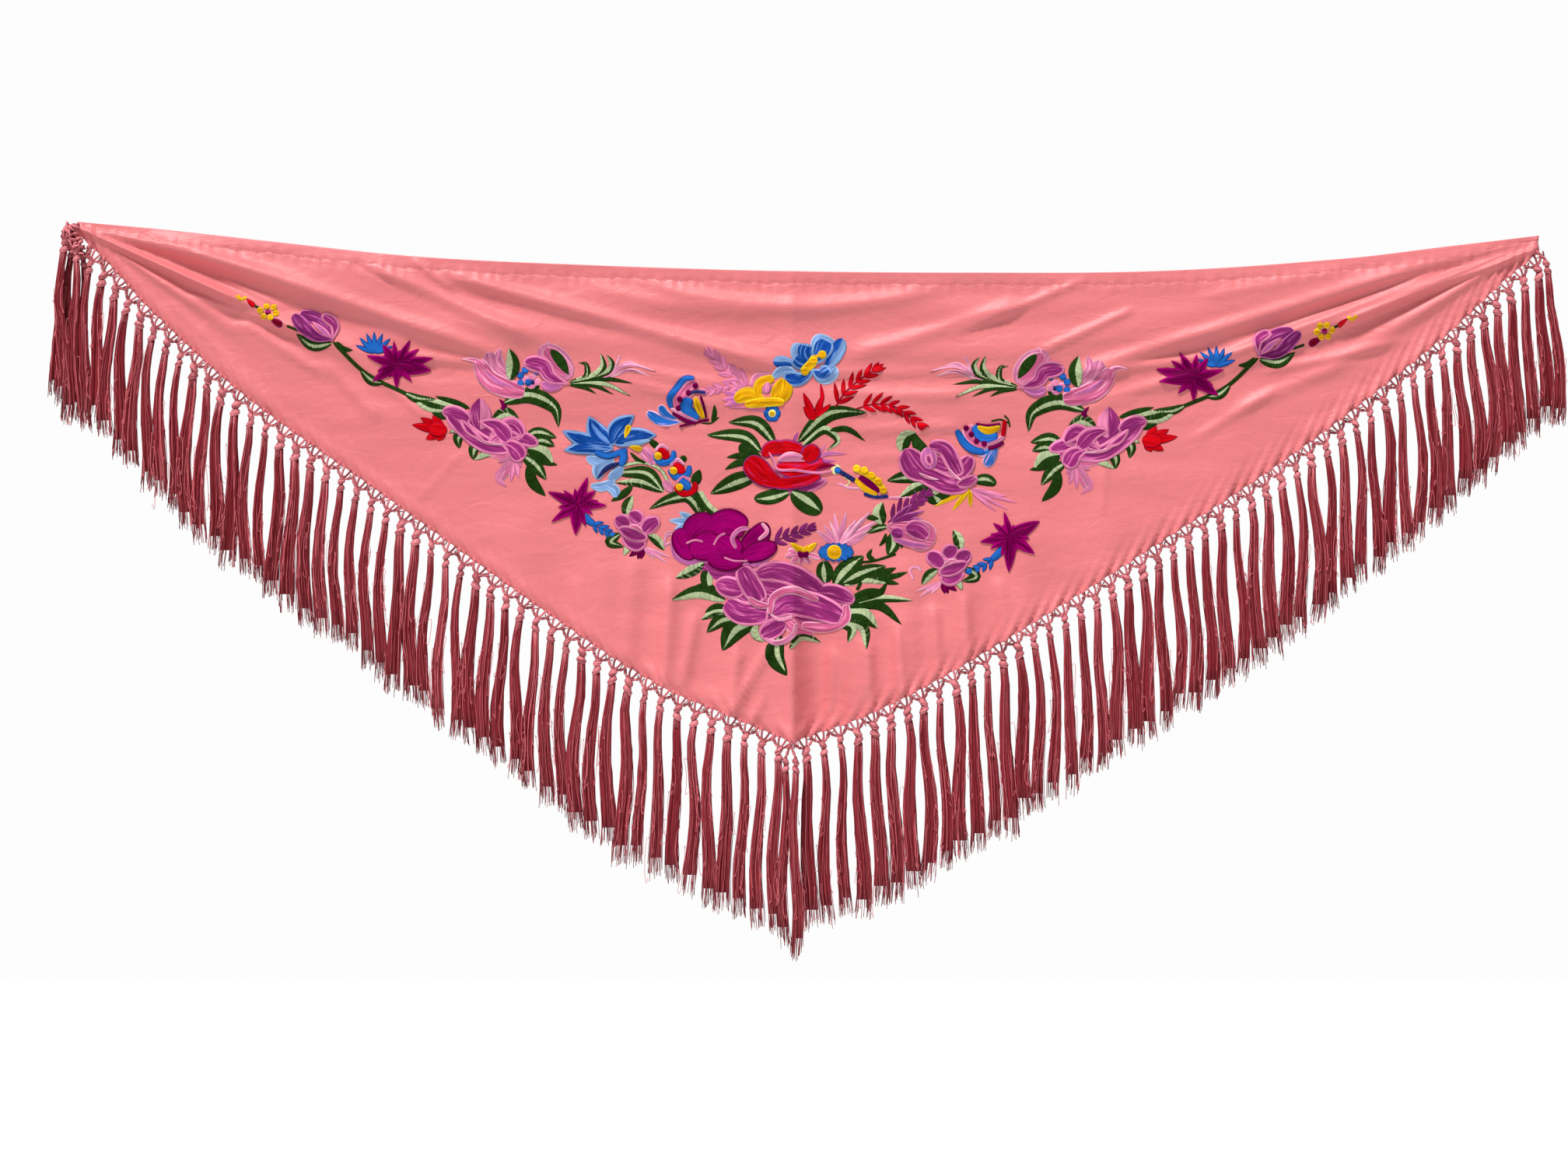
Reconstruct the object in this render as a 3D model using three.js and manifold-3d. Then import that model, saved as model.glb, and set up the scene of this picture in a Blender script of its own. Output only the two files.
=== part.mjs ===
// Embroidered triangular shawl with a netted fringe, hanging by the two ends of its long edge.
// Millimetres, +Z up. The front faces -Y and +X is to the right as seen from the front.
// The origin is the right end of the long edge, where the shawl is held.

import * as THREE from 'three';
import { mergeVertices } from 'three/addons/utils/BufferGeometryUtils.js';
import Module from 'manifold-3d';

// Driving dimensions of the cloth
const SPAN = 1698;
const LEFT_RISE = 16;
const TIP_X = -867;
const CLOTH = 1.6;
const SEAM = 0.3;
const HEM_PLY = 1.2;
// A hem's height, and the most of a grid row that it may take where the cloth narrows to the corners
const TOP_HEM = { height: 13, share: 0.45 };
const SIDE_HEM = { height: 5, share: 0.3 };
const COLUMNS_PER_HALF = 34;
const PANEL_ROWS = 9;

// Driving dimensions of the fringe
const PITCH = 21.6;
const CORD = 2.2;
const HEM_KNOT = 3.6;
// A three-sided knot lies with a flat side, a quarter of its width from its middle, to the cloth
const KNOT_REACH = HEM_KNOT / 4;
const NET_DROP = 14.5;
const LENGTH_AT_CORNER = 172;
const LENGTH_NEAR_TIP = 211;
const LENGTH_SPREAD = 7;
const LEAN_SHARE = 0.7;
const LEAN_FADE = 30;
const SWAY = 2;
const SWAY_WAVE = 30;
const SWAY_FREE = 60;

const LOOKS = {
  cloth: { color: 0xef8a8c, roughness: 0.55, metalness: 0 },
  hem: { color: 0xe27f82, roughness: 0.6, metalness: 0 },
  fringe: { color: 0x9a4148, roughness: 0.5, metalness: 0 },
};

// The long edge sags between the two held ends
const topEdge = [
  { x: -1698, z: 16 },
  { x: -1608, z: 8 },
  { x: -1464, z: -8 },
  { x: -1300, z: -25 },
  { x: -1106, z: -34 },
  { x: -884, z: -41 },
  { x: -654, z: -43 },
  { x: -432, z: -41 },
  { x: -224, z: -27 },
  { x: -100, z: -12 },
  { x: 0, z: 0 },
];

// The left short edge, from the gathered corner to the tip
const leftEdge = [
  { x: -1698, z: 2 },
  { x: -1662, z: -33 },
  { x: -1614, z: -86 },
  { x: -1504, z: -186 },
  { x: -1349, z: -297 },
  { x: -1128, z: -455 },
  { x: -1021, z: -523 },
  { x: -934, z: -561 },
  { x: -867, z: -589 },
];

// The right short edge, from the tip to the held corner
const rightEdge = [
  { x: -867, z: -589 },
  { x: -798, z: -565 },
  { x: -711, z: -523 },
  { x: -578, z: -444 },
  { x: -447, z: -361 },
  { x: -278, z: -249 },
  { x: -110, z: -118 },
  { x: -40, z: -53 },
  { x: 0, z: -20 },
];

// Tension folds: each runs from a held corner, falling by its angle.
// They start narrow at a point below the corner, rise over the first length and open over the second.
const FOLD_START = 6;
const FOLD_RISE = 170;
const FOLD_OPENING = 420;
const FOLD_NARROW = 0.18;
const FOLD_FADE_FROM = 0.4;
const tensionFolds = [
  { end: 'left', angle: 7, reach: 720, width: 26, height: 5 },
  { end: 'left', angle: 13.5, reach: 800, width: 24, height: 8 },
  { end: 'left', angle: 24.5, reach: 520, width: 15, height: 10 },
  { end: 'left', angle: 33, reach: 330, width: 16, height: 6 },
  { end: 'right', angle: 6, reach: 640, width: 24, height: 5 },
  { end: 'right', angle: 12, reach: 760, width: 22, height: 8 },
  { end: 'right', angle: 21.5, reach: 560, width: 14, height: 10 },
  { end: 'right', angle: 31, reach: 360, width: 18, height: 6 },
];

// Soft swags that cross the middle below the long edge
const swags = [
  { below: 46, width: 17, height: 4 },
  { below: 96, width: 20, height: 5 },
  { below: 150, width: 22, height: 4 },
];

// Drape folds that rise from the lower hem and fade upwards
const drapeFolds = [
  { x: -1180, rise: 190, width: 30, height: 5 },
  { x: -1085, rise: 230, width: 26, height: 6 },
  { x: -1008, rise: 210, width: 20, height: 7 },
  { x: -938, rise: 190, width: 18, height: 8 },
  { x: -792, rise: 210, width: 18, height: 9 },
  { x: -735, rise: 240, width: 17, height: 7 },
  { x: -672, rise: 230, width: 18, height: 7 },
  { x: -600, rise: 210, width: 22, height: 6 },
  { x: -505, rise: 180, width: 28, height: 5 },
  { x: -370, rise: 140, width: 30, height: 4 },
];

const BELLY = 9;
const CREASE = { width: 14, top: 2, bottom: 8 };

// A tassel's cross-sections: the two lobes of its knotted head, then its threads by share of their length
const headSections = [
  { down: 0, width: 0.8, depth: 0.8 },
  { down: 4.5, width: 8.4, depth: 7.6 },
  { down: 9, width: 5.6, depth: 5.4 },
  { down: 13.5, width: 9.2, depth: 8.4 },
  { down: 19, width: 5.2, depth: 5 },
];
const threadSections = [
  { share: 0.17, width: 8.6, depth: 7 },
  { share: 0.55, width: 10.4, depth: 8 },
  { share: 1, width: 12, depth: 7.6 },
];

// The net's end is gathered up at the left corner into a clump of knots
const cornerKnots = [
  { x: -1706, z: 11, width: 10 },
  { x: -1711, z: 0, width: 20 },
  { x: -1704, z: -12, width: 22 },
  { x: -1691, z: -27, width: 9 },
];

// Tassels that hang bunched under the gathered corner, each before or behind the next
const cornerTassels = [
  { x: -1713, z: -2, back: 4.5, lean: -0.22, length: 188 },
  { x: -1710, z: -3, back: -4.5, lean: -0.15, length: 198 },
  { x: -1705, z: -8, back: 4.5, lean: -0.12, length: 204 },
  { x: -1698, z: -14, back: -4.5, lean: -0.06, length: 202 },
  { x: -1692, z: -20, back: 4.5, lean: 0, length: 202 },
];

// Tassels on cords of their own under the tip
const tipTassels = [
  { x: -875, z: -606, back: 4.3, lean: -0.04, length: 224 },
  { x: -863.5, z: -606, back: -4.3, lean: 0, length: 228 },
];
const BUNCH_WIDTH = 0.86;

// The tassel that closes the net at the right corner
const END_TASSEL = { x: 6, z: -26, forward: 5, width: 0.86, lean: 0.3, length: 196 };

const wasm = await Module();
wasm.setup();

const group = new THREE.Group();

function addPiece(name, geometry, look) {
  const mesh = new THREE.Mesh(geometry, new THREE.MeshStandardMaterial(look));
  mesh.name = name;
  group.add(mesh);
}

// Repeatable scatter between -1 and 1, so that no two tassels hang quite alike
function scatter(index, salt) {
  const wave = Math.sin(index * 12.9898 + salt * 78.233) * 43758.5453;
  return 2 * (wave - Math.floor(wave)) - 1;
}

// Height of a smooth curve through table rows at a given x
function heightOn(rows, x) {
  let k = 0;
  while (k < rows.length - 2 && x > rows[k + 1].x) {
    k += 1;
  }
  const slopeAt = (n) => {
    const before = rows[Math.max(n - 1, 0)];
    const after = rows[Math.min(n + 1, rows.length - 1)];
    return (after.z - before.z) / (after.x - before.x);
  };
  const a = rows[k];
  const b = rows[k + 1];
  const run = b.x - a.x;
  const t = (x - a.x) / run;
  const keep = (1 + 2 * t) * (1 - t) ** 2;
  return keep * a.z + (1 - keep) * b.z
    + run * (slopeAt(k) * t * (1 - t) ** 2 - slopeAt(k + 1) * t * t * (1 - t));
}

function bell(distance, width) {
  return Math.exp(-((distance / width) ** 2));
}

function smoothStep(t) {
  const held = Math.min(Math.max(t, 0), 1);
  return held * held * (3 - 2 * held);
}

// How far one tension fold lifts the cloth towards the front
function tensionLift(fold, x, z) {
  const left = fold.end === 'left';
  const along = left ? x + SPAN : -x;
  const below = (left ? LEFT_RISE : 0) - FOLD_START - z;
  const angle = THREE.MathUtils.degToRad(fold.angle);
  const run = along * Math.cos(angle) + below * Math.sin(angle);
  const off = below * Math.cos(angle) - along * Math.sin(angle);
  const width = fold.width * THREE.MathUtils.lerp(FOLD_NARROW, 1, smoothStep(run / FOLD_OPENING));
  const fade = smoothStep((run / fold.reach - FOLD_FADE_FROM) / (1 - FOLD_FADE_FROM));
  return fold.height * smoothStep(run / FOLD_RISE) * (1 - fade) * bell(off, width);
}

// Depth of the cloth's middle surface: negative is towards the front
function reliefAt(x, z, top, bottom) {
  const across = Math.sin((Math.PI * (x + SPAN)) / SPAN);
  const share = (top - z) / (top - bottom);
  let lift = BELLY * across * smoothStep(share);
  for (const fold of tensionFolds) {
    lift += tensionLift(fold, x, z);
  }
  for (const swag of swags) {
    lift += swag.height * across ** 3 * bell(top - z - swag.below * across, swag.width);
  }
  for (const fold of drapeFolds) {
    const fade = 1 - smoothStep((z - bottom) / fold.rise);
    lift += fold.height * fade * bell(x - fold.x, fold.width);
  }
  const crease = THREE.MathUtils.lerp(CREASE.top, CREASE.bottom, share);
  lift += crease * Math.exp(-Math.abs(x - TIP_X) / CREASE.width);
  return -lift;
}

function columnX(column) {
  if (column <= COLUMNS_PER_HALF) {
    return THREE.MathUtils.lerp(-SPAN, TIP_X, column / COLUMNS_PER_HALF);
  }
  return THREE.MathUtils.lerp(TIP_X, 0, column / COLUMNS_PER_HALF - 1);
}

// A point of the panel's middle surface
function panelPoint(column, row) {
  const x = columnX(column);
  const top = heightOn(topEdge, x);
  const bottom = column <= COLUMNS_PER_HALF ? heightOn(leftEdge, x) : heightOn(rightEdge, x);
  const z = THREE.MathUtils.lerp(top, bottom, row / PANEL_ROWS);
  return new THREE.Vector3(x, reliefAt(x, z, top, bottom), z);
}

// A closed wall between a front and a back sheet of points
function wall(columns, rows, frontAt, backAt) {
  const sheet = (columns + 1) * (rows + 1);
  const positions = [];
  for (const pointAt of [frontAt, backAt]) {
    for (let i = 0; i <= columns; i += 1) {
      for (let j = 0; j <= rows; j += 1) {
        positions.push(...pointAt(i, j).toArray());
      }
    }
  }
  const at = (i, j) => i * (rows + 1) + j;
  const indices = [];
  const quad = (a, b, c, d) => indices.push(a, b, c, a, c, d);
  for (let i = 0; i < columns; i += 1) {
    for (let j = 0; j < rows; j += 1) {
      quad(at(i, j), at(i, j + 1), at(i + 1, j + 1), at(i + 1, j));
      quad(sheet + at(i + 1, j), sheet + at(i + 1, j + 1), sheet + at(i, j + 1), sheet + at(i, j));
    }
    quad(at(i + 1, 0), sheet + at(i + 1, 0), sheet + at(i, 0), at(i, 0));
    quad(at(i, rows), sheet + at(i, rows), sheet + at(i + 1, rows), at(i + 1, rows));
  }
  for (let j = 0; j < rows; j += 1) {
    quad(at(0, j), sheet + at(0, j), sheet + at(0, j + 1), at(0, j + 1));
    quad(at(columns, j + 1), sheet + at(columns, j + 1), sheet + at(columns, j), at(columns, j));
  }
  return solidGeometry(positions, indices);
}

function solidGeometry(positions, indices) {
  const geometry = new THREE.BufferGeometry();
  geometry.setAttribute('position', new THREE.Float32BufferAttribute(positions, 3));
  geometry.setIndex(indices);
  geometry.computeVertexNormals();
  return geometry;
}

function movedBack(point, distance) {
  return new THREE.Vector3(point.x, point.y + distance, point.z);
}

// The one panel of crepe
function clothPanel() {
  return wall(
    2 * COLUMNS_PER_HALF,
    PANEL_ROWS,
    (i, j) => movedBack(panelPoint(i, j), -CLOTH / 2),
    (i, j) => movedBack(panelPoint(i, j), CLOTH / 2),
  );
}

// A turned hem behind the panel, from its points along an edge row moved back
function hemBand({ from, to, edgeRow, innerRow, height, share, startShift = 0, endShift = 0 }) {
  const columns = to - from;
  const bandPoint = (i, j) => {
    const column = from + i;
    const edge = panelPoint(column, edgeRow);
    const inner = panelPoint(column, innerRow);
    const clothHeight = panelPoint(column, 0).z - panelPoint(column, PANEL_ROWS).z;
    const reach = Math.min(height, clothHeight * share) / Math.abs(edge.z - inner.z);
    const onEdge = edgeRow < innerRow ? j === 0 : j === 1;
    const point = onEdge ? edge : edge.clone().lerp(inner, Math.min(reach, 1));
    point.x += (i === 0 ? startShift : 0) + (i === columns ? endShift : 0);
    return point;
  };
  const near = CLOTH / 2 + SEAM;
  return wall(
    columns,
    1,
    (i, j) => movedBack(bandPoint(i, j), near),
    (i, j) => movedBack(bandPoint(i, j), near + HEM_PLY),
  );
}

// A closed tube through points, its sections flat across the tube and square to the front
function tube(points, halfWidths, halfDepths, sides) {
  const positions = [];
  const indices = [];
  points.forEach((point, n) => {
    const before = points[Math.max(n - 1, 0)];
    const after = points[Math.min(n + 1, points.length - 1)];
    const tangent = new THREE.Vector3(after.x - before.x, 0, after.z - before.z).normalize();
    const across = new THREE.Vector3(tangent.z, 0, -tangent.x);
    for (let k = 0; k < sides; k += 1) {
      const turn = (2 * Math.PI * k) / sides;
      positions.push(
        point.x + across.x * Math.cos(turn) * halfWidths[n],
        point.y + Math.sin(turn) * halfDepths[n],
        point.z + across.z * Math.cos(turn) * halfWidths[n],
      );
    }
  });
  const lastRing = (points.length - 1) * sides;
  for (let n = 0; n < points.length - 1; n += 1) {
    for (let k = 0; k < sides; k += 1) {
      const a = n * sides + k;
      const b = n * sides + ((k + 1) % sides);
      indices.push(a, b, b + sides, a, b + sides, a + sides);
    }
  }
  for (let k = 1; k < sides - 1; k += 1) {
    indices.push(0, k + 1, k);
    indices.push(lastRing, lastRing + k, lastRing + k + 1);
  }
  return solidGeometry(positions, indices);
}

function asSolid(geometry) {
  geometry.deleteAttribute('normal');
  const merged = mergeVertices(geometry);
  return new wasm.Manifold(new wasm.Mesh({
    numProp: 3,
    vertProperties: merged.attributes.position.array,
    triVerts: new Uint32Array(merged.index.array),
  }));
}

function joined(geometries) {
  let whole = asSolid(geometries[0]);
  for (const geometry of geometries.slice(1)) {
    whole = whole.add(asSolid(geometry));
  }
  const mesh = whole.getMesh();
  return solidGeometry(Array.from(mesh.vertProperties), Array.from(mesh.triVerts));
}

// The hem's points moved out of the cloth, square to the edge
function movedOut(points, distance) {
  return points.map((point, n) => {
    const before = points[Math.max(n - 1, 0)];
    const after = points[Math.min(n + 1, points.length - 1)];
    const slope = new THREE.Vector3(after.x - before.x, 0, after.z - before.z).normalize();
    return new THREE.Vector3(point.x + slope.z * distance, point.y, point.z - slope.x * distance);
  });
}

// The two nets end side by side at the tip, so each stops half a knot and a seam short of it
function stopShortOfTip(points, tip, neighbour) {
  const back = (HEM_KNOT / 2 + SEAM) / points[tip].distanceTo(points[neighbour]);
  points[tip] = points[tip].clone().lerp(points[neighbour], back);
}

// Even steps along a line of points
function steppedAlong(points, pitch) {
  const lengths = points.slice(1).map((point, n) => point.distanceTo(points[n]));
  const total = lengths.reduce((sum, length) => sum + length, 0);
  const count = Math.round(total / pitch);
  const steps = [];
  for (let n = 0; n <= count; n += 1) {
    let left = (total * n) / count;
    let k = 0;
    while (k < lengths.length - 1 && left > lengths[k]) {
      left -= lengths[k];
      k += 1;
    }
    steps.push(points[k].clone().lerp(points[k + 1], Math.min(left / lengths[k], 1)));
  }
  return steps;
}

// One tassel from the foot of the net: it leaves at a lean and falls straight
function tassel(root, { lean = 0, length, width = 1, seed }) {
  const stretched = length + LENGTH_SPREAD * scatter(seed, 3);
  const threads = threadSections.map((section) => ({ ...section, down: section.share * stretched }));
  const sections = [...headSections, ...threads];
  const points = [];
  let drift = 0;
  let previous = 0;
  for (const { down } of sections) {
    drift += (down - previous) * Math.tan(lean * Math.exp(-previous / LEAN_FADE));
    previous = down;
    const free = smoothStep(down / SWAY_FREE);
    const sway = SWAY * free * scatter(seed, 1) * Math.sin(down / SWAY_WAVE + 3 * scatter(seed, 2));
    points.push(new THREE.Vector3(root.x + drift + sway, root.y + free * scatter(seed, 4), root.z - down));
  }
  const halfWidths = sections.map((section) => (section.width * width) / 2);
  const halfDepths = sections.map((section) => (section.depth * width) / 2);
  return tube(points, halfWidths, halfDepths, 4);
}

function evenTube(points, thickness, sides) {
  const radii = points.map(() => thickness / 2);
  return tube(points, radii, radii, sides);
}

// The net along one short edge: cords zigzag between knots at the hem and the heads of the tassels.
// The first meshes can be left bare, where other tassels hang.
function fringe(edge, bareMeshes, extras) {
  const knots = steppedAlong(movedOut(edge, SEAM + KNOT_REACH), PITCH);
  const feet = movedOut(knots, NET_DROP);
  const meshes = knots.length - 1;
  const stops = [knots[0]];
  const thicknesses = [HEM_KNOT];
  const tassels = [];
  for (let n = 0; n < meshes; n += 1) {
    const foot = feet[n].clone().lerp(feet[n + 1], 0.5);
    const slope = Math.atan2(knots[n + 1].z - knots[n].z, knots[n + 1].x - knots[n].x);
    const fromCorner = slope < 0 ? n / meshes : 1 - n / meshes;
    const length = THREE.MathUtils.lerp(LENGTH_AT_CORNER, LENGTH_NEAR_TIP, fromCorner);
    stops.push(foot, knots[n + 1]);
    thicknesses.push(CORD, HEM_KNOT);
    if (n >= bareMeshes) {
      const seed = n + Math.sign(slope) * 100;
      tassels.push(tassel(foot, { lean: slope * LEAN_SHARE, length, seed }));
    }
  }
  const radii = thicknesses.map((thickness) => thickness / 2);
  return joined([tube(stops, radii, radii, 3), ...tassels, ...extras]);
}

// The gathered corner: a clump of knots and the tassels that hang under it
function gatheredCorner(edge) {
  const depth = edge[0].y;
  const points = cornerKnots.map((knot) => new THREE.Vector3(knot.x, depth, knot.z));
  const radii = cornerKnots.map((knot) => knot.width / 2);
  const hanging = cornerTassels.map((spot, n) => tassel(
    new THREE.Vector3(spot.x, depth + spot.back, spot.z),
    { ...spot, width: BUNCH_WIDTH, seed: 300 + n },
  ));
  return [tube(points, radii, radii, 6), ...hanging];
}

// The pair of tassels under the tip
function tipPair(edge) {
  const top = edge[edge.length - 1].clone();
  top.x -= CORD;
  top.z -= SEAM + CORD / 2;
  return tipTassels.flatMap((spot, n) => {
    const foot = new THREE.Vector3(spot.x, top.y + spot.back, spot.z);
    return [evenTube([top, foot], CORD, 3), tassel(foot, { ...spot, width: BUNCH_WIDTH, seed: 400 + n })];
  });
}

// The last tassel under the right corner, on a cord from the net's end
function endTassel(edge) {
  const end = edge[edge.length - 1];
  const top = new THREE.Vector3(end.x - 1, end.y, end.z - SEAM - CORD);
  const foot = new THREE.Vector3(END_TASSEL.x, end.y - END_TASSEL.forward, END_TASSEL.z - CORD);
  return [evenTube([top, foot], CORD, 3), tassel(foot, { ...END_TASSEL, seed: 500 })];
}

const allColumns = Array.from({ length: 2 * COLUMNS_PER_HALF + 1 }, (_, i) => i);
const bottomPoints = allColumns.map((column) => panelPoint(column, PANEL_ROWS));
const leftBottom = bottomPoints.slice(0, COLUMNS_PER_HALF + 1);
const rightBottom = bottomPoints.slice(COLUMNS_PER_HALF);
stopShortOfTip(leftBottom, leftBottom.length - 1, leftBottom.length - 2);
stopShortOfTip(rightBottom, 0, 1);

const topHem = { ...TOP_HEM, from: 0, to: 2 * COLUMNS_PER_HALF, edgeRow: 0, innerRow: 1 };
const sideHem = { ...SIDE_HEM, edgeRow: PANEL_ROWS, innerRow: PANEL_ROWS - 1 };
const leftHem = { ...sideHem, from: 0, to: COLUMNS_PER_HALF, endShift: -SEAM / 2 };
const rightHem = { ...sideHem, from: COLUMNS_PER_HALF, to: 2 * COLUMNS_PER_HALF, startShift: SEAM / 2 };
const leftExtras = [...gatheredCorner(leftBottom), ...tipPair(leftBottom)];

addPiece('cloth_panel', clothPanel(), LOOKS.cloth);
addPiece('top_hem', hemBand(topHem), LOOKS.hem);
addPiece('left_hem', hemBand(leftHem), LOOKS.hem);
addPiece('right_hem', hemBand(rightHem), LOOKS.hem);
addPiece('left_fringe', fringe(leftBottom, 1, leftExtras), LOOKS.fringe);
addPiece('right_fringe', fringe(rightBottom, 0, endTassel(rightBottom)), LOOKS.fringe);

export default group;
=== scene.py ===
"""The looks of a triangular embroidered shawl with a netted fringe, hanging by the ends of its long edge.

Metres, +Z up. The front faces -Y, and the origin is the right end of the long edge.
"""

import math

import bpy
import numpy as np
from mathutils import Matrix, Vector


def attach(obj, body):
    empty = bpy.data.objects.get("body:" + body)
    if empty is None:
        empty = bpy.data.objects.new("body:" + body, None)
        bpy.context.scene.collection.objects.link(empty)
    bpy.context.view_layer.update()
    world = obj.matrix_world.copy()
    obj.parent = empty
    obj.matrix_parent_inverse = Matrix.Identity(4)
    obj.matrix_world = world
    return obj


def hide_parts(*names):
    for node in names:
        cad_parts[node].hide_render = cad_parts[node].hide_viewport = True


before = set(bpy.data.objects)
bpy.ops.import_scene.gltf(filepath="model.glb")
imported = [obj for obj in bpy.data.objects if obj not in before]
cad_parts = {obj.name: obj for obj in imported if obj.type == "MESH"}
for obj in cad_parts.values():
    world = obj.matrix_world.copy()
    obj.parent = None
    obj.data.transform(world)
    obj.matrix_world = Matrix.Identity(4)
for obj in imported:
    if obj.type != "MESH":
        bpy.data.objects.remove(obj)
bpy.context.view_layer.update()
MM = 0.001
FRONT, BACK = -1, 1

# The cloth, as its solid has it, and the thinner crepe that shows
SPAN = 1.698
LEFT_RISE = 0.016
TIP_X = -0.867
CREPE = 0.9 * MM
COLUMNS_PER_HALF = 240
TOP_EDGE = [
    (-1.698, 0.016),
    (-1.608, 0.008),
    (-1.464, -0.008),
    (-1.300, -0.025),
    (-1.106, -0.034),
    (-0.884, -0.041),
    (-0.654, -0.043),
    (-0.432, -0.041),
    (-0.224, -0.027),
    (-0.100, -0.012),
    (0.0, 0.0),
]
LEFT_EDGE = [
    (-1.698, 0.002),
    (-1.662, -0.033),
    (-1.614, -0.086),
    (-1.504, -0.186),
    (-1.349, -0.297),
    (-1.128, -0.455),
    (-1.021, -0.523),
    (-0.934, -0.561),
    (-0.867, -0.589),
]
RIGHT_EDGE = [
    (-0.867, -0.589),
    (-0.798, -0.565),
    (-0.711, -0.523),
    (-0.578, -0.444),
    (-0.447, -0.361),
    (-0.278, -0.249),
    (-0.110, -0.118),
    (-0.040, -0.053),
    (0.0, -0.020),
]

# Tension folds from the held corners: end, angle in degrees, reach, width and height
FOLD_START = 0.006
FOLD_RISE = 0.170
FOLD_OPENING = 0.420
FOLD_NARROW = 0.18
FOLD_FADE_FROM = 0.4
TENSION_FOLDS = [
    ("left", 7, 0.720, 0.026, 0.005),
    ("left", 13.5, 0.800, 0.024, 0.008),
    ("left", 24.5, 0.520, 0.015, 0.010),
    ("left", 33, 0.330, 0.016, 0.006),
    ("right", 6, 0.640, 0.024, 0.005),
    ("right", 12, 0.760, 0.022, 0.008),
    ("right", 21.5, 0.560, 0.014, 0.010),
    ("right", 31, 0.360, 0.018, 0.006),
]
# Creases that only this surface has, in millimetres across from the cloth's middle line and down from the
# held corners: start, end, how far the middle sags, width and height
CREASES = [
    (-822, -6, -640, 76, 0, 4, 5.7),
    (-825, -8, -700, 17, 0, 4, 2.7),
    (-715, 12, -340, 138, 0, 9.5, 8.4),
    (-660, 50, -590, 84, 0, 4, 2.4),
    (-505, 34, -462, 58, 0, 3, -1.8),
    (-480, 40, -305, 116, 0, 8, 5.7),
    (-437, 30, -395, 62, 0, 4, 2.7),
    (-385, 50, -20, 150, 0, 8, 7.8),
    (-440, 140, -350, 150, 1, 5, 3.3),
    (-160, 60, 160, 66, 20, 9, 5.1),
    (-230, 60, -40, 92, 4, 8, 2.4),
    (-200, 150, -80, 172, 2, 5, 3.9),
    (-190, 168, -90, 200, 0, 6, 3),
    (-150, 222, -95, 226, 0, 4, 2.7),
    (-690, 70, -560, 112, 3, 5, 3.6),
    (-640, 100, -545, 160, 0, 7, 3.6),
    (-540, 150, -480, 210, 0, 8, 3.3),
    (-500, 150, -420, 215, 0, 5, 2.7),
    (-720, 80, -600, 200, 0, 8, 2.4),
    (-382, 254, -446, 322, 0, 2.4, 1.7),
    (868, 14, 640, 101, 0, 4, 5.7),
    (745, 46, 498, 142, 0, 5.5, 5.4),
    (720, 42, 345, 154, 0, 9, 7.8),
    (640, 40, 480, 72, 0, 8, 2.7),
    (392, 88, 292, 134, 0, 4.5, 3.9),
    (335, 54, 190, 114, 0, 4.5, 3.3),
    (260, 80, 80, 136, 2, 8, 5.1),
    (500, 138, 342, 158, 2, 5, 3.9),
    (470, 160, 350, 194, 0, 6, 3.6),
    (400, 190, 330, 205, 1, 4, 2.2),
    (30, 160, 250, 156, 1, 5, 3.9),
    (50, 182, 200, 186, -2, 6, 3.6),
    (60, 205, 150, 206, 0, 5, 2.4),
    (70, 226, 190, 222, 0, 6, 3.9),
    (75, 258, 135, 256, 0, 5, 2.7),
    (700, 124, 555, 156, 2, 6, 3.6),
    (640, 150, 520, 200, 0, 8, 3),
    (560, 180, 470, 235, 0, 6, 2.7),
    (760, 110, 600, 235, 3, 8, 2.4),
    (364, 262, 360, 320, 0, 5, 2.1),
    (395, 262, 430, 330, 0, 4, 2.1),
    (48, 480, 44, 575, 0, 7, 5.7),
    (88, 470, 92, 560, 0, 8, 6.3),
    (122, 455, 128, 540, 0, 7, 6.3),
    (165, 430, 170, 520, 0, 8, 6.3),
    (200, 420, 205, 500, 0, 7, 4.8),
    (240, 400, 250, 470, 0, 8, 4.2),
    (-140, 400, -150, 535, 0, 9, 5.7),
    (-18, 468, -75, 562, 0, 5, 5.2),
    (-30, 535, -52, 575, 0, 4, 4.2),
    (-110, 440, -125, 520, 0, 7, 4.5),
    (-180, 370, -190, 500, 0, 12, 3.8),
    (-60, 480, -70, 540, 0, 6, 3.3),
    (-250, 400, -235, 470, 0, 10, 3),
]
MIDDLE_X = TIP_X - 0.0017
CREASE_END = 0.22
# The cloth falls back right of its middle crease, in a wedge that widens towards the tip
WEDGE_WIDTH = 0.036
WEDGE_DEPTH = 0.024
WEDGE_START = 0.45
WEDGE_NARROWEST = 0.2

# Swags below the long edge: how far below, width and height
SWAGS = [
    (0.046, 0.017, 0.004),
    (0.096, 0.020, 0.005),
    (0.150, 0.022, 0.004),
]

# Drape folds from the lower hem: x, rise, width and height
DRAPE_FOLDS = [
    (-1.180, 0.190, 0.030, 0.005),
    (-1.085, 0.230, 0.026, 0.006),
    (-1.008, 0.210, 0.020, 0.007),
    (-0.938, 0.190, 0.018, 0.008),
    (-0.792, 0.210, 0.018, 0.009),
    (-0.735, 0.240, 0.017, 0.007),
    (-0.672, 0.230, 0.018, 0.007),
    (-0.600, 0.210, 0.022, 0.006),
    (-0.505, 0.180, 0.028, 0.005),
    (-0.370, 0.140, 0.030, 0.004),
]
BELLY = 0.009
CREASE_WIDTH = 0.014
CREASE_TOP = 0.002
CREASE_BOTTOM = 0.008
CREASE_ROUND = 0.0025

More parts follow.
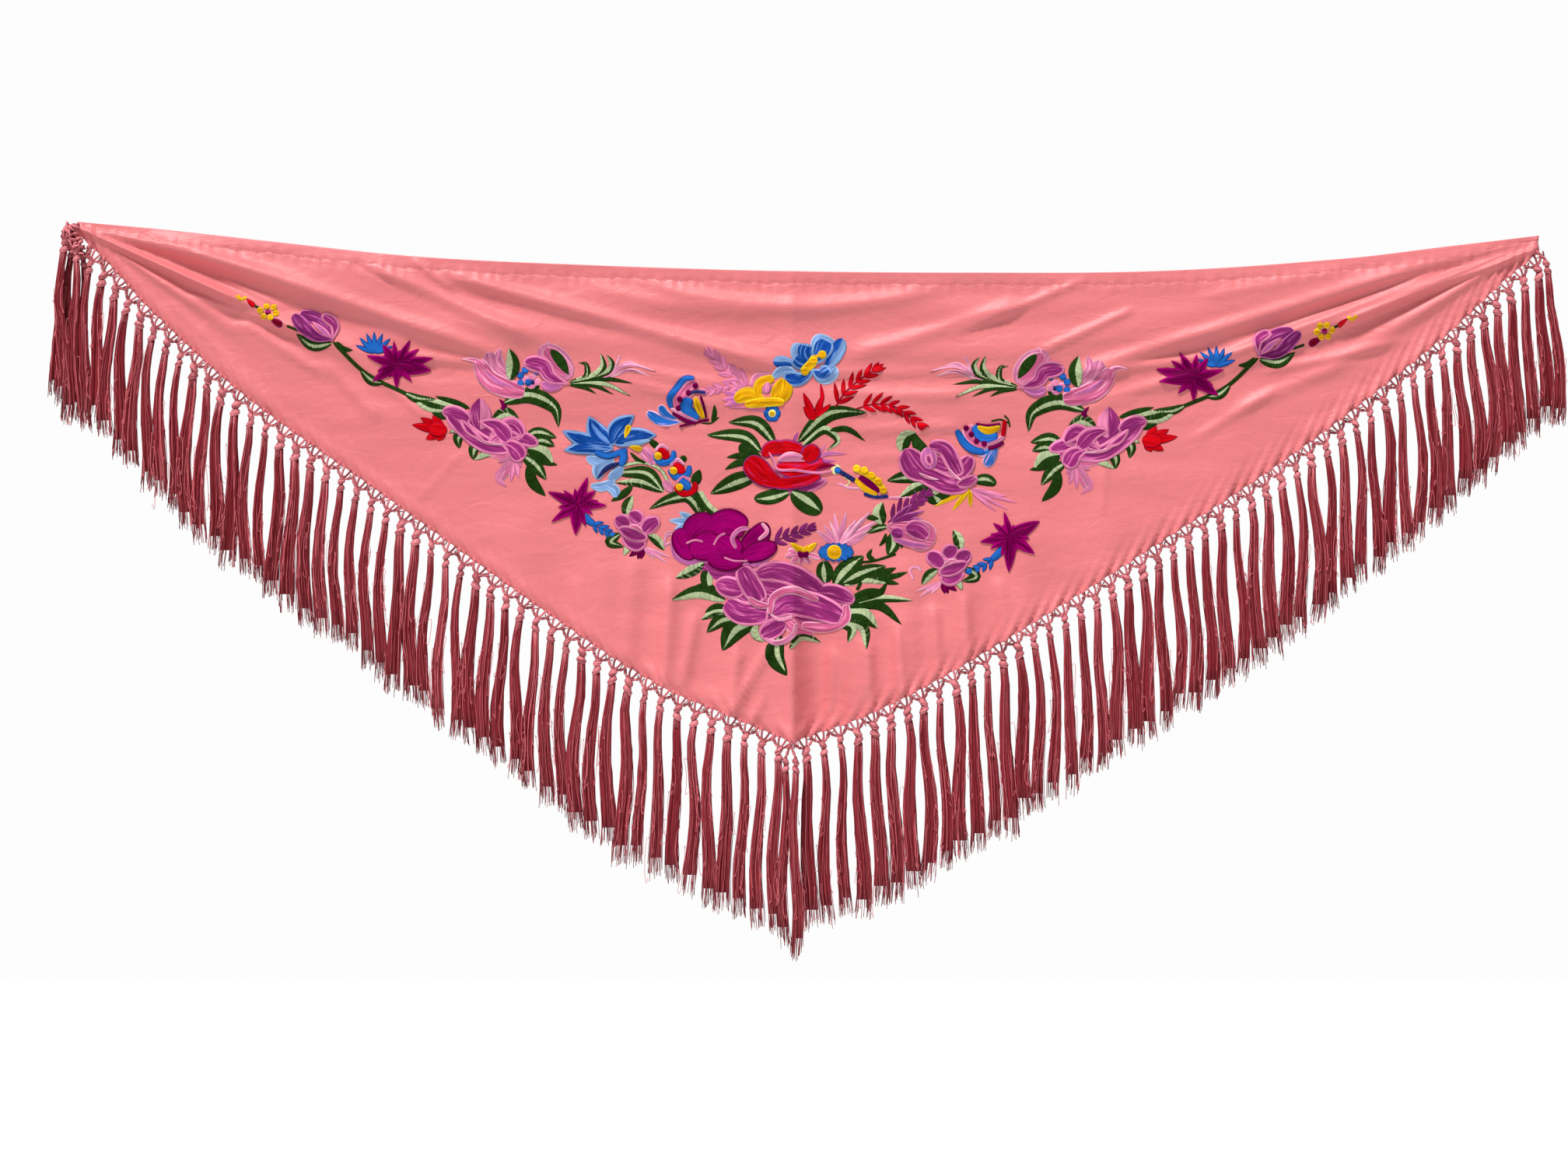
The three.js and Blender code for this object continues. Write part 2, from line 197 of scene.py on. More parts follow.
# The fringe: its pitch and knots are the solids', and its heads hang nearer the hem and lean less
PITCH = 0.0216
KNOT_GAP = 0.0012
NET_DROP = 0.0090
LENGTH_AT_CORNER = 0.177
LENGTH_NEAR_TIP = 0.216
LENGTH_SPREAD = 0.007
LEAN_SHARE = 0.28
LEAN_FADE = 0.030
SWAY = 0.002
SWAY_WAVE = 0.030
SWAY_FREE = 0.060
BUNCH_WIDTH = 0.86
TIP_STOP = 0.0021


def smooth_through(xs, ys, x):
    """Heights at x of a smooth curve through the points xs, ys."""
    xs, ys = np.asarray(xs, float), np.asarray(ys, float)
    last = len(xs) - 1
    before, after = np.maximum(np.arange(last + 1) - 1, 0), np.minimum(np.arange(last + 1) + 1, last)
    slopes = (ys[after] - ys[before]) / (xs[after] - xs[before])
    k = np.clip(np.searchsorted(xs, x) - 1, 0, last - 1)
    run = xs[k + 1] - xs[k]
    t = (x - xs[k]) / run
    keep = (1 + 2 * t) * (1 - t) ** 2
    bend = slopes[k] * t * (1 - t) ** 2 - slopes[k + 1] * t * t * (1 - t)
    return keep * ys[k] + (1 - keep) * ys[k + 1] + run * bend


def on_edge(rows, x):
    xs, zs = zip(*rows)
    return smooth_through(xs, zs, x)


def bell(distance, width):
    return np.exp(-((distance / width) ** 2))


def smooth_step(t):
    held = np.clip(t, 0, 1)
    return held * held * (3 - 2 * held)


def lerp(a, b, t):
    return a + (b - a) * t


def scatter(index, salt):
    """Repeatable scatter between -1 and 1."""
    wave = math.sin(index * 12.9898 + salt * 78.233) * 43758.5453
    return 2 * (wave - math.floor(wave)) - 1


def lower_edge(x):
    left = on_edge(LEFT_EDGE, np.minimum(x, TIP_X))
    right = on_edge(RIGHT_EDGE, np.maximum(x, TIP_X))
    return np.where(x < TIP_X, left, right)


def rounded(distance):
    """A distance whose sharp turn at nought is rounded."""
    return np.sqrt(distance**2 + CREASE_ROUND**2)


def tension_lift(fold, x, z):
    """How far one tension fold lifts the cloth towards the front."""
    end, degrees, reach, width, height = fold
    along = x + SPAN if end == "left" else -x
    below = (LEFT_RISE if end == "left" else 0) - FOLD_START - z
    angle = math.radians(degrees)
    run = along * math.cos(angle) + below * math.sin(angle)
    off = below * math.cos(angle) - along * math.sin(angle)
    open_width = width * lerp(FOLD_NARROW, 1, smooth_step(run / FOLD_OPENING))
    fade = smooth_step((run / reach - FOLD_FADE_FROM) / (1 - FOLD_FADE_FROM))
    return height * smooth_step(run / FOLD_RISE) * (1 - fade) * bell(off, open_width)


def main_lift(x, z, top, bottom):
    """How far the cloth stands towards the front, as its solid does."""
    across = np.sin(np.pi * (x + SPAN) / SPAN)
    share = (top - z) / (top - bottom)
    lift = BELLY * across * smooth_step(share)
    for fold in TENSION_FOLDS:
        lift = lift + tension_lift(fold, x, z)
    for below, width, height in SWAGS:
        lift = lift + height * across**3 * bell(top - z - below * across, width)
    for fold_x, rise, width, height in DRAPE_FOLDS:
        fade = 1 - smooth_step((z - bottom) / rise)
        lift = lift + height * fade * bell(x - fold_x, width)
    middle_crease = np.exp((CREASE_ROUND - rounded(x - TIP_X)) / CREASE_WIDTH)
    return lift + lerp(CREASE_TOP, CREASE_BOTTOM, share) * middle_crease


# Soft crinkles of the thin cloth: how many waves, their lengths and how high they stand together
CRINKLE_SEED = 11
CRINKLES = 26
CRINKLE_LENGTHS = (0.028, 0.100)
CRINKLE_HEIGHT = 0.0016
CRINKLE_STRETCH = 2.2
CRINKLE_SLANT = 0.35


def crinkles(x, z):
    """Many small slanting waves added up, longer across than down."""
    rng = np.random.default_rng(CRINKLE_SEED)
    total = np.zeros(np.broadcast(x, z).shape)
    for _ in range(CRINKLES):
        length = rng.uniform(*CRINKLE_LENGTHS)
        turn = rng.normal(math.pi / 2, CRINKLE_SLANT)
        phase = rng.uniform(0, 2 * math.pi)
        swing = (x * math.cos(turn) / CRINKLE_STRETCH + z * math.sin(turn)) * 2 * math.pi / length
        total += np.sin(swing + phase) * length / CRINKLE_LENGTHS[1]
    return CRINKLE_HEIGHT * total / math.sqrt(CRINKLES)


# The long edge is turned over and sewn down; the short edges are rolled and drawn up by the net
TOP_SEAM = 0.0135
SEAM_WANDER = 0.0015
SEAM_WAVES = [(0.4, 61, 0, 0), (0.6, 290, 2, 23)]
SEAM_NARROW_REACH = 0.10
SEAM_NARROWEST = 0.45
SEAM_GROOVE = 0.0007
SEAM_GROOVE_WIDTH = 0.0012
SEAM_PUCKER = 0.00078
SEAM_PUCKER_WAVES = [(1, 390, 2, 57), (0.6, 655, 3, 31)]
SEAM_PUCKER_BELOW = 0.0015
SEAM_PUCKER_WIDTH = 0.006
LEFT_PUCKER = 0.0020
RIGHT_PUCKER = 0.0030
EDGE_PUCKER_REACH = 0.021
PUCKER_SLANT = 0.9
SLOW_PUCKER = 0.4
SLOW_PUCKER_RATE = 0.37
SLOW_PUCKER_START = 0.2
SIDES_BLEND = 0.02
HEM_ROLL = 0.0022
HEM_ROLL_ABOVE = 0.012
HEM_ROLL_WIDTH = 0.0075
EDGE_SCALLOP = 0.0016
SCALLOP_REACH = 0.006


def uneven_wave(x, waves):
    """Waves added up whose own length comes and goes: each one's height, rate, bend and the bend's rate."""
    return sum(height * np.sin(x * rate + bend * np.sin(x * slow)) for height, rate, bend, slow in waves)


def seam_depth(x):
    """How far below the long edge its seam runs: it wanders, and comes nearer at the held corners."""
    narrow = np.clip(np.minimum(x + SPAN, -x) / SEAM_NARROW_REACH, SEAM_NARROWEST, 1)
    return narrow * (TOP_SEAM + SEAM_WANDER * uneven_wave(x, SEAM_WAVES))


def crease_lift(crease, x, z):
    """How far one crease lifts the cloth: a ridge along its line, which runs out at both ends."""
    across, down, end_across, end_down, sag, width, height = crease
    start = np.array([MIDDLE_X + across * MM, -down * MM])
    reach = np.array([MIDDLE_X + end_across * MM, -end_down * MM]) - start
    length = math.hypot(*reach)
    along = ((x - start[0]) * reach[0] + (z - start[1]) * reach[1]) / length**2
    off = ((z - start[1]) * reach[0] - (x - start[0]) * reach[1]) / length
    held = np.clip(along, 0, 1)
    off = off + math.copysign(sag, reach[0]) * MM * np.sin(np.pi * held)
    start_fade = smooth_step((along + CREASE_END / 2) / CREASE_END)
    end_fade = smooth_step((1 + CREASE_END / 2 - along) / CREASE_END)
    return height * MM * start_fade * end_fade * bell(off, width * MM)


def wedge_lift(x, share):
    """The fall of the cloth just right of the middle crease."""
    beyond = (x - TIP_X + rounded(x - TIP_X)) / 2
    across = beyond / (WEDGE_WIDTH * np.maximum(share, WEDGE_NARROWEST))
    fall = smooth_step((share - WEDGE_START) / (1 - WEDGE_START))
    return -WEDGE_DEPTH * fall * across * np.exp((1 - across**2) / 2)


def fine_lift(x, z, top, bottom, phase):
    """What the thin cloth adds to the solid's form: creases, crinkles, and puckers at the hems."""
    across = np.sin(np.pi * (x + SPAN) / SPAN)
    share = np.clip((top - z) / (top - bottom), 0, 1)
    lift = crinkles(x, z) * across**0.5 + wedge_lift(x, share)
    for crease in CREASES:
        lift = lift + crease_lift(crease, x, z)
    below = top - z - seam_depth(x)
    pucker = uneven_wave(x, SEAM_PUCKER_WAVES) * bell(below - SEAM_PUCKER_BELOW, SEAM_PUCKER_WIDTH)
    lift = lift + SEAM_PUCKER * pucker - SEAM_GROOVE * bell(below, SEAM_GROOVE_WIDTH)
    above_edge = z - bottom
    on_right = smooth_step((x - TIP_X) / SIDES_BLEND + 0.5)
    slanted = phase + PUCKER_SLANT * above_edge / PITCH * (1 - 2 * on_right)
    slow = np.cos(2 * np.pi * (SLOW_PUCKER_RATE * slanted + SLOW_PUCKER_START))
    drawn = np.cos(2 * np.pi * slanted) + SLOW_PUCKER * slow
    lift = lift + lerp(LEFT_PUCKER, RIGHT_PUCKER, on_right) * drawn * bell(above_edge, EDGE_PUCKER_REACH)
    return lift + HEM_ROLL * (1 - on_right) * bell(above_edge - HEM_ROLL_ABOVE, HEM_ROLL_WIDTH)


def outline(x):
    """Top and bottom of the cloth at x, and the phase of the net's knots along the lower edge."""
    return on_edge(TOP_EDGE, x), lower_edge(x), knot_phase(x)


def cloth_depth(x, z):
    """Y of the middle of the crepe at a point."""
    top, bottom, phase = outline(x)
    return -(main_lift(x, z, top, bottom) + fine_lift(x, z, top, bottom, phase))


def edge_polyline(xs):
    """The solid's lower edge, in three dimensions."""
    bottom = lower_edge(xs)
    return np.stack([xs, -main_lift(xs, bottom, on_edge(TOP_EDGE, xs), bottom), bottom], 1)


def moved_out(points, distance):
    """Points moved out of the cloth, square to the edge."""
    slope = np.gradient(points, axis=0)
    slope[:, 1] = 0
    slope /= np.linalg.norm(slope, axis=1)[:, None]
    return points + distance * np.stack([slope[:, 2], np.zeros(len(points)), -slope[:, 0]], 1)


def arc_lengths(points):
    steps = np.linalg.norm(np.diff(points, axis=0), axis=1)
    return np.concatenate([[0], np.cumsum(steps)])


def stepped_along(points, pitch):
    """Even steps along a line of points."""
    lengths = arc_lengths(points)
    wanted = np.linspace(0, lengths[-1], round(lengths[-1] / pitch) + 1)
    return np.stack([np.interp(wanted, lengths, points[:, k]) for k in range(3)], 1)


def fallen_back(knots):
    """Knots moved back where the thin cloth falls back from its solid."""
    moved = knots.copy()
    moved[:, 1] -= wedge_lift(knots[:, 0], 1.0)
    return moved


HALF_COLUMNS = np.linspace(0, 1, COLUMNS_PER_HALF + 1)
LEFT_XS = lerp(-SPAN, TIP_X - TIP_STOP, HALF_COLUMNS)
RIGHT_XS = lerp(TIP_X + TIP_STOP, 0, HALF_COLUMNS)
LEFT_KNOTS = stepped_along(moved_out(edge_polyline(LEFT_XS), KNOT_GAP), PITCH)
RIGHT_KNOTS = fallen_back(stepped_along(moved_out(edge_polyline(RIGHT_XS), KNOT_GAP), PITCH))


def knot_phase(x):
    """Whole numbers at the net's knots and fractions between them."""
    left = np.interp(x, LEFT_KNOTS[:, 0], np.arange(len(LEFT_KNOTS)))
    right = np.interp(x, RIGHT_KNOTS[:, 0], np.arange(len(RIGHT_KNOTS)))
    return np.where(x < TIP_X, left, right)


class Gathered:
    """Points and faces gathered for one piece, with the values that its material reads at each point."""

    def __init__(self):
        self.points, self.faces, self.values, self.total = [], [], {}, 0

    def add(self, points, faces, **values):
        points = np.reshape(points, (-1, 3))
        self.points.append(points)
        for group in faces if isinstance(faces, list) else [faces]:
            self.faces += (group + self.total).tolist()
        for name, value in values.items():
            value = np.asarray(value, float)
            shape = (len(points), *value.shape[1:])
            wide = np.broadcast_to(value, shape)
            self.values.setdefault(name, []).append(wide)
        self.total += len(points)

    def piece(self, name, material, slot, *nodes):
        """The gathered mesh as a piece that rides on the shawl and stands for the CAD nodes named."""
        mesh = bpy.data.meshes.new(name)
        mesh.from_pydata(np.concatenate(self.points), [], self.faces)
        for key, chunks in self.values.items():
            value = np.concatenate(chunks)
            kind, field = ("FLOAT", "value") if value.ndim == 1 else ("FLOAT_VECTOR", "vector")
            attribute = mesh.attributes.new(key, kind, "POINT")
            attribute.data.foreach_set(field, np.ascontiguousarray(value, np.float32).ravel())
        mesh.polygons.foreach_set("use_smooth", np.ones(len(mesh.polygons), bool))
        mesh.materials.append(material)
        piece = bpy.data.objects.new(name, mesh)
        bpy.context.scene.collection.objects.link(piece)
        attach(piece, "root")
        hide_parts(*nodes)
        return piece


def unit(vectors):
    return vectors / np.maximum(np.linalg.norm(vectors, axis=-1, keepdims=True), 1e-12)


def tubes(paths, radii, sides, reference=(0, 1, 0), closed=False):
    """Points and faces of tubes round many paths. paths is (count, steps, 3), and closed ones join up."""
    paths = np.asarray(paths, float)
    count, steps = paths.shape[:2]
    radii = np.broadcast_to(radii, (count, steps))
    if closed:
        tangent = np.roll(paths, -1, 1) - np.roll(paths, 1, 1)
    else:
        tangent = np.gradient(paths, axis=1)
    across = unit(np.cross(tangent, reference))
    outward = unit(np.cross(across, tangent))
    turn = np.linspace(0, 2 * np.pi, sides, endpoint=False)[:, None]
    ring = across[:, :, None] * np.cos(turn) + outward[:, :, None] * np.sin(turn)
    points = paths[:, :, None] + ring * radii[:, :, None, None]
    index = np.arange(count * steps * sides).reshape(count, steps, sides)
    following = np.roll(index, -1, 1) if closed else index[:, 1:]
    here = index if closed else index[:, :-1]
    quads = np.stack([here, following, np.roll(following, -1, 2), np.roll(here, -1, 2)], -1).reshape(-1, 4)
    if closed:
        return points, [quads]
    return points, [quads, index[:, 0], index[:, -1, ::-1]]


def spread(value, steps, sides):
    """One value a tube, repeated for each of its points."""
    return np.repeat(value, steps * sides)


class Shader:
    """A material with a Principled shader, and short calls for its nodes."""

    def __init__(self, name, **settings):
        self.material = bpy.data.materials.new(name)
        self.material.use_nodes = True
        self.tree = self.material.node_tree
        self.principled = self.tree.nodes["Principled BSDF"]
        for key, value in settings.items():
            self.principled.inputs[key.replace("_", " ").title().replace("Ior", "IOR")].default_value = value

    def node(self, kind, inputs=None, output=0, **settings):
        """Adds a node and returns its output. inputs holds numbers or other outputs."""
        made = self.tree.nodes.new(kind)
        for key, value in settings.items():
            setattr(made, key, value)
        for key, value in (inputs or {}).items():
            if isinstance(value, bpy.types.NodeSocket):
                self.tree.links.new(value, made.inputs[key])
            else:
                made.inputs[key].default_value = value
        return made.outputs[output]

    def attribute(self, name, output="Vector"):
        return self.node("ShaderNodeAttribute", output=output, attribute_name=name)

    def noise(self, where, scale, stretch=(1, 1, 1), detail=2.0, distortion=0.0):
        moved = self.node("ShaderNodeMapping", {"Vector": where, "Scale": stretch})
        settings = {"Vector": moved, "Scale": scale, "Detail": detail, "Distortion": distortion}
        return self.node("ShaderNodeTexNoise", settings)

    def ramp(self, value, low, high, to_low=0.0, to_high=1.0):
        settings = {"Value": value, "From Min": low, "From Max": high, "To Min": to_low, "To Max": to_high}
        return self.node("ShaderNodeMapRange", settings)

    def math(self, operation, a, b=0.0):
        return self.node("ShaderNodeMath", {0: a, 1: b}, operation=operation)

    def scaled(self, colour, factor):
        """A colour made lighter or darker by a factor."""
        return self.node("ShaderNodeVectorMath", {0: colour, "Scale": factor}, operation="SCALE")

    def mix(self, factor, a, b):
        made = self.tree.nodes.new("ShaderNodeMix")
        made.data_type = "RGBA"
        for socket, value in zip((made.inputs[0], made.inputs[6], made.inputs[7]), (factor, a, b)):
            if isinstance(value, bpy.types.NodeSocket):
                self.tree.links.new(value, socket)
            else:
                socket.default_value = value
        return made.outputs[2]

    def bump(self, height, distance, strength=1.0, below=None):
        inputs = {"Height": height, "Distance": distance, "Strength": strength}
        if below is not None:
            inputs["Normal"] = below
        return self.node("ShaderNodeBump", inputs)

    def wire(self, socket, output):
        self.tree.links.new(output, self.principled.inputs[socket])


def crepe_material():
    """Crepe: a dry pebbly face with a slight sheen, its yarns just showing."""
    shader = Shader("crepe", roughness=0.47, sheen_weight=0.34, sheen_roughness=0.4, specular_ior_level=0.45)
    shader.principled.inputs["Sheen Tint"].default_value = (1.0, 0.72, 0.74, 1)
    where = shader.node("ShaderNodeTexCoord", output="Object")
    broad = shader.noise(where, 3.5, (1, 1, 2), detail=3)
    pebble = shader.noise(where, 1100, detail=3)
    weft = shader.noise(where, 1, (160, 160, 2300), detail=2)
    warp = shader.noise(where, 1, (2300, 160, 160), detail=2)
    yarns = shader.math("MULTIPLY", shader.math("ADD", weft, warp), 0.5)
    light = shader.mix(broad, (0.755, 0.180, 0.192, 1), (0.805, 0.208, 0.218, 1))
    yarn_shade = shader.ramp(yarns, 0.3, 0.7, 0.93, 1.05)
    shade = shader.math("MULTIPLY", yarn_shade, shader.ramp(pebble, 0.25, 0.75, 0.96, 1.03))
    shader.wire("Base Color", shader.scaled(light, shade))
    creases = shader.noise(where, 42, (0.8, 1, 1.6), detail=3, distortion=0.6)
    soft = shader.bump(creases, 0.0024, 0.6)
    grain = shader.bump(yarns, 0.00022, 0.7, below=soft)
    shader.wire("Normal", shader.bump(pebble, 0.00016, 0.6, below=grain))
    return shader.material


def fringe_material(name, dark, light, roughness):
    """Glossy rayon: each thread has a tint of its own, which in the tassels also carries painted shade and
    painted highlights, and its twist catches the light.
    """
    shader = Shader(name, roughness=roughness, specular_ior_level=0.2)
    where = shader.node("ShaderNodeTexCoord", output="Object")
    streaks = shader.noise(where, 1, (900, 900, 60), detail=3)
    twist = shader.noise(where, 1, (1500, 1500, 1500), detail=1)
    tint = shader.attribute("tint", "Fac")
    blend = shader.ramp(shader.math("ADD", tint, shader.math("MULTIPLY", streaks, 0.9)), 0.35, 1.45)
    shader.wire("Base Color", shader.mix(blend, dark, light))
    shader.wire("Normal", shader.bump(twist, 0.0003, 0.5))
    return shader.material


def wall_between(front, back, columns, rows):
    """Faces of a closed wall whose front points come first, as a grid, and then its back ones."""
    index = np.arange(columns * rows).reshape(columns, rows)
    behind = index + columns * rows

    def quads(a):
        return np.stack([a[:-1, :-1], a[:-1, 1:], a[1:, 1:], a[1:, :-1]], -1).reshape(-1, 4)

    def strip(a, b):
        return np.stack([a[:-1], a[1:], b[1:], b[:-1]], -1)

    faces = [quads(index), quads(behind)[:, ::-1]]
    faces += [strip(index[:, 0], behind[:, 0]), strip(index[:, -1], behind[:, -1])[:, ::-1]]
    faces += [strip(index[0], behind[0])[:, ::-1], strip(index[-1], behind[-1])]
    return np.concatenate([front.reshape(-1, 3), back.reshape(-1, 3)]), faces


# Rows of the cloth's grid: distances from each hem, and how many rows lie between them
TOP_ROWS = np.array([0, 1.2, 3.5, 7, 10, 12, 13.2, 14.4, 16, 19, 24]) * MM
LOW_ROWS = np.array([0, 0.8, 2, 4, 7, 11, 16, 22]) * MM
MIDDLE_ROWS = 76
ROWS_TOWARDS_TOP = 1.25
HEM_ROWS_SHARE = 0.32


def cloth_grid():
    """x and z of the cloth's points, with rows close together at the hems."""
    xs = np.concatenate([lerp(-SPAN, TIP_X, HALF_COLUMNS), lerp(TIP_X, 0, HALF_COLUMNS[1:])])
    top, bottom, phase = outline(xs)
    height = top - bottom
    squeeze = np.minimum(1, height * HEM_ROWS_SHARE / TOP_ROWS[-1])[:, None]
    upper = TOP_ROWS * squeeze
    lower = height[:, None] - LOW_ROWS[::-1] * squeeze
    between = lerp(upper[:, -1:], lower[:, :1], np.linspace(0, 1, MIDDLE_ROWS + 2)[1:-1] ** ROWS_TOWARDS_TOP)
    down = np.concatenate([upper, between, lower], 1)
    z = top[:, None] - down
    x = np.repeat(xs[:, None], z.shape[1], 1)
    pull = np.cos(2 * np.pi * phase)[:, None] * np.exp(-(z - bottom[:, None]) / SCALLOP_REACH)
    return x, z - EDGE_SCALLOP * 0.5 * pull


def cloth_piece(material):
    x, z = cloth_grid()
    y = cloth_depth(x, z)
    front = np.stack([x, y - CREPE / 2, z], -1)
    back = np.stack([x, y + CREPE / 2, z], -1)
    cloth = Gathered()
    cloth.add(*wall_between(front, back, *x.shape))
    return cloth.piece("crepe_cloth", material, "cloth", "cloth_panel")


# Tassels: the girth of the head and of the lock of threads at steps down from the net's foot
HEAD_DOWNS = (0, 0.0045, 0.009, 0.0135, 0.019)
THREAD_SHARES = (0.17, 0.55, 1)
THREAD_WIDTHS = (0.0104, 0.0154, 0.0204)
THREAD_DEPTHS = (0.0078, 0.0092, 0.0100)
NECK_DOWN = 0.016
NECK_WIDTH = 0.0080
LOBE_DOWNS = (0.0045, 0.0135)
LOBE_RADII = (0.0043, 0.0046)
LOBE_REACH = 0.004
LOBE_TURN_SHIFTS = np.array([-1.7, 0.17, 1.87]) * MM
LOBE_TURN_SIZES = np.array([0.62, 0.8, 0.66])
LOBE_TURN_GIRTH = 0.42
LOBE_CORE = np.array([[0.3, 0.8, 0.8, 0.3]])
LOBE_CORE_ENDS = np.array([[-1], [-0.5], [0.5], [1]]) * 1.05
RING_STEPS = 10
THROAT_DOWNS = (-0.002, 0.003, 0.009, 0.0165, 0.026)
THROAT_RADII = (0.0016, 0.0029, 0.0026, 0.0030, 0.0034)
WANDER = 0.0030
WANDER_WAVE = 0.034
WIDTH_SPREAD = 0.16
CORNER_KNOTS = [
    (-1.706, 0.011, 0.010),
    (-1.711, 0.000, 0.020),
    (-1.704, -0.012, 0.022),
    (-1.691, -0.027, 0.009),
]
CORNER_TASSELS = [
    {"x": -1.713, "z": -0.002, "back": 0.0045, "lean": -0.22, "length": 0.188},
    {"x": -1.710, "z": -0.003, "back": -0.0045, "lean": -0.15, "length": 0.198},
    {"x": -1.705, "z": -0.008, "back": 0.0045, "lean": -0.12, "length": 0.204},
    {"x": -1.698, "z": -0.014, "back": -0.0045, "lean": -0.06, "length": 0.202},
    {"x": -1.692, "z": -0.020, "back": 0.0045, "lean": 0.0, "length": 0.202},
]
TIP_TASSELS = [
    {"x": -0.875, "z": -0.606, "back": 0.0043, "lean": -0.04, "length": 0.224},
    {"x": -0.8635, "z": -0.606, "back": -0.0043, "lean": 0.0, "length": 0.228},
]
END_TASSEL = {"x": 0.006, "z": -0.0282, "back": -0.005, "lean": 0.3, "length": 0.196}

# The net: its twisted cords, the loops and small knots at the hem, and the fans of cords to each head
DOUBLE_CORD = 0.9 * MM
CORD_RADIUS = 1.1 * MM
CORD_TWIST = 2.5 * math.pi
CORD_STEPS = 7
CORD_SIDES = 4
HEM_HOLD = 1.7 * MM
HOLD_ABOVE = 4.2 * MM
HOLD_BEFORE = 1.2 * MM
KNOT_BELOW = 2.6 * MM
FRONT_BULGE = 1.6 * MM
BACK_BULGE = 1.2 * MM
HEM_LOOPS = (1.4 * MM, 2.6 * MM)
HEM_LOOP_SHIFT = 3.1 * MM
HEM_LOOP_THREAD = 0.7 * MM
HEM_LOOP_STEPS = 8
HEM_LOOP_AXIS = np.array([0.45, 0.3, 0.84])
HEAD_TOP = 1.2 * MM
NET_BEND_OUT = 5.2 * MM
NET_BEND_ALONG = 4.2 * MM
FAN_SHARES = (0.3, 0.7)
FAN_RADIUS = 1.25 * MM
FAN_ABOVE = 3.5 * MM
FAN_BEND = 4.2 * MM


class Tassel:
    """One tassel's centre line and girth, from the foot of the net down."""

    def __init__(self, root, lean, length, seed, width=1.0):
        stretched = length + LENGTH_SPREAD * scatter(seed, 3)
        self.downs = np.array([*HEAD_DOWNS, *(share * stretched for share in THREAD_SHARES)])
        self.width, self.root, self.length = width, np.array(root, float), stretched
        self.turn = 6 * scatter(seed, 7)
        drift, previous, self.across, self.forward = 0, 0, [], []
        for down in self.downs:
            drift += (down - previous) * math.tan(lean * math.exp(-previous / LEAN_FADE))
            previous = down
            free = float(smooth_step(down / SWAY_FREE))
            swing = math.sin(down / SWAY_WAVE + 3 * scatter(seed, 2))
            self.across.append(drift + SWAY * free * scatter(seed, 1) * swing)
            self.forward.append(free * scatter(seed, 4) * MM)

    def centre(self, downs):
        drift = WANDER * smooth_step(downs / SWAY_FREE) * np.sin(downs / WANDER_WAVE + self.turn)
        x = self.root[0] + smooth_through(self.downs, self.across, downs) + drift
        y = self.root[1] + smooth_through(self.downs, self.forward, downs)
        return np.stack([x, y, self.root[2] - downs], -1)

    def girth(self, downs, girths):
        knots = (NECK_DOWN, *self.downs[-3:])
        return np.interp(downs, knots, (NECK_WIDTH, *girths)) * self.width / 2


def net_feet(knots):
    """Feet of the net between its knots, where the tassels hang, and the slope of the edge there."""
    feet = moved_out(knots, NET_DROP)
    middles = (feet[:-1] + feet[1:]) / 2
    run = np.diff(knots, axis=0)
    return middles, np.arctan2(run[:, 2], run[:, 0])


def row_of_tassels(knots, bare):
    feet, slopes = net_feet(knots)
    count = len(feet)
    made = []
    for n in range(bare, count):
        from_corner = n / count if slopes[n] < 0 else 1 - n / count
        length = lerp(LENGTH_AT_CORNER, LENGTH_NEAR_TIP, from_corner)
        seed = n + (100 if slopes[n] > 0 else -100)
        width = 1 + WIDTH_SPREAD * scatter(seed, 6)
        made.append(Tassel(feet[n], slopes[n] * LEAN_SHARE, length, seed, width))
    return made


def single_tassel(spot, depth, seed):
    root = (spot["x"], depth + spot["back"], spot["z"])
    return Tassel(root, spot["lean"], spot["length"], seed, BUNCH_WIDTH)


THREADS = 32
THREAD_STEPS = 10
THREAD_RADIUS = 0.72 * MM
THREAD_WAVE = 0.9 * MM
STRAYS = 5
STRAY_STEPS = 10
STRAY_RADIUS = 0.38 * MM
CORE_REACH = 0.90
CORE_OFFSETS = np.array([-0.5, 0, 0.5])
# Tints of the tassels' core tubes, darker than the threads': painted shade inside each bundle
CORE_SHADE_TINTS = np.array([-0.2, -0.4, -0.1])


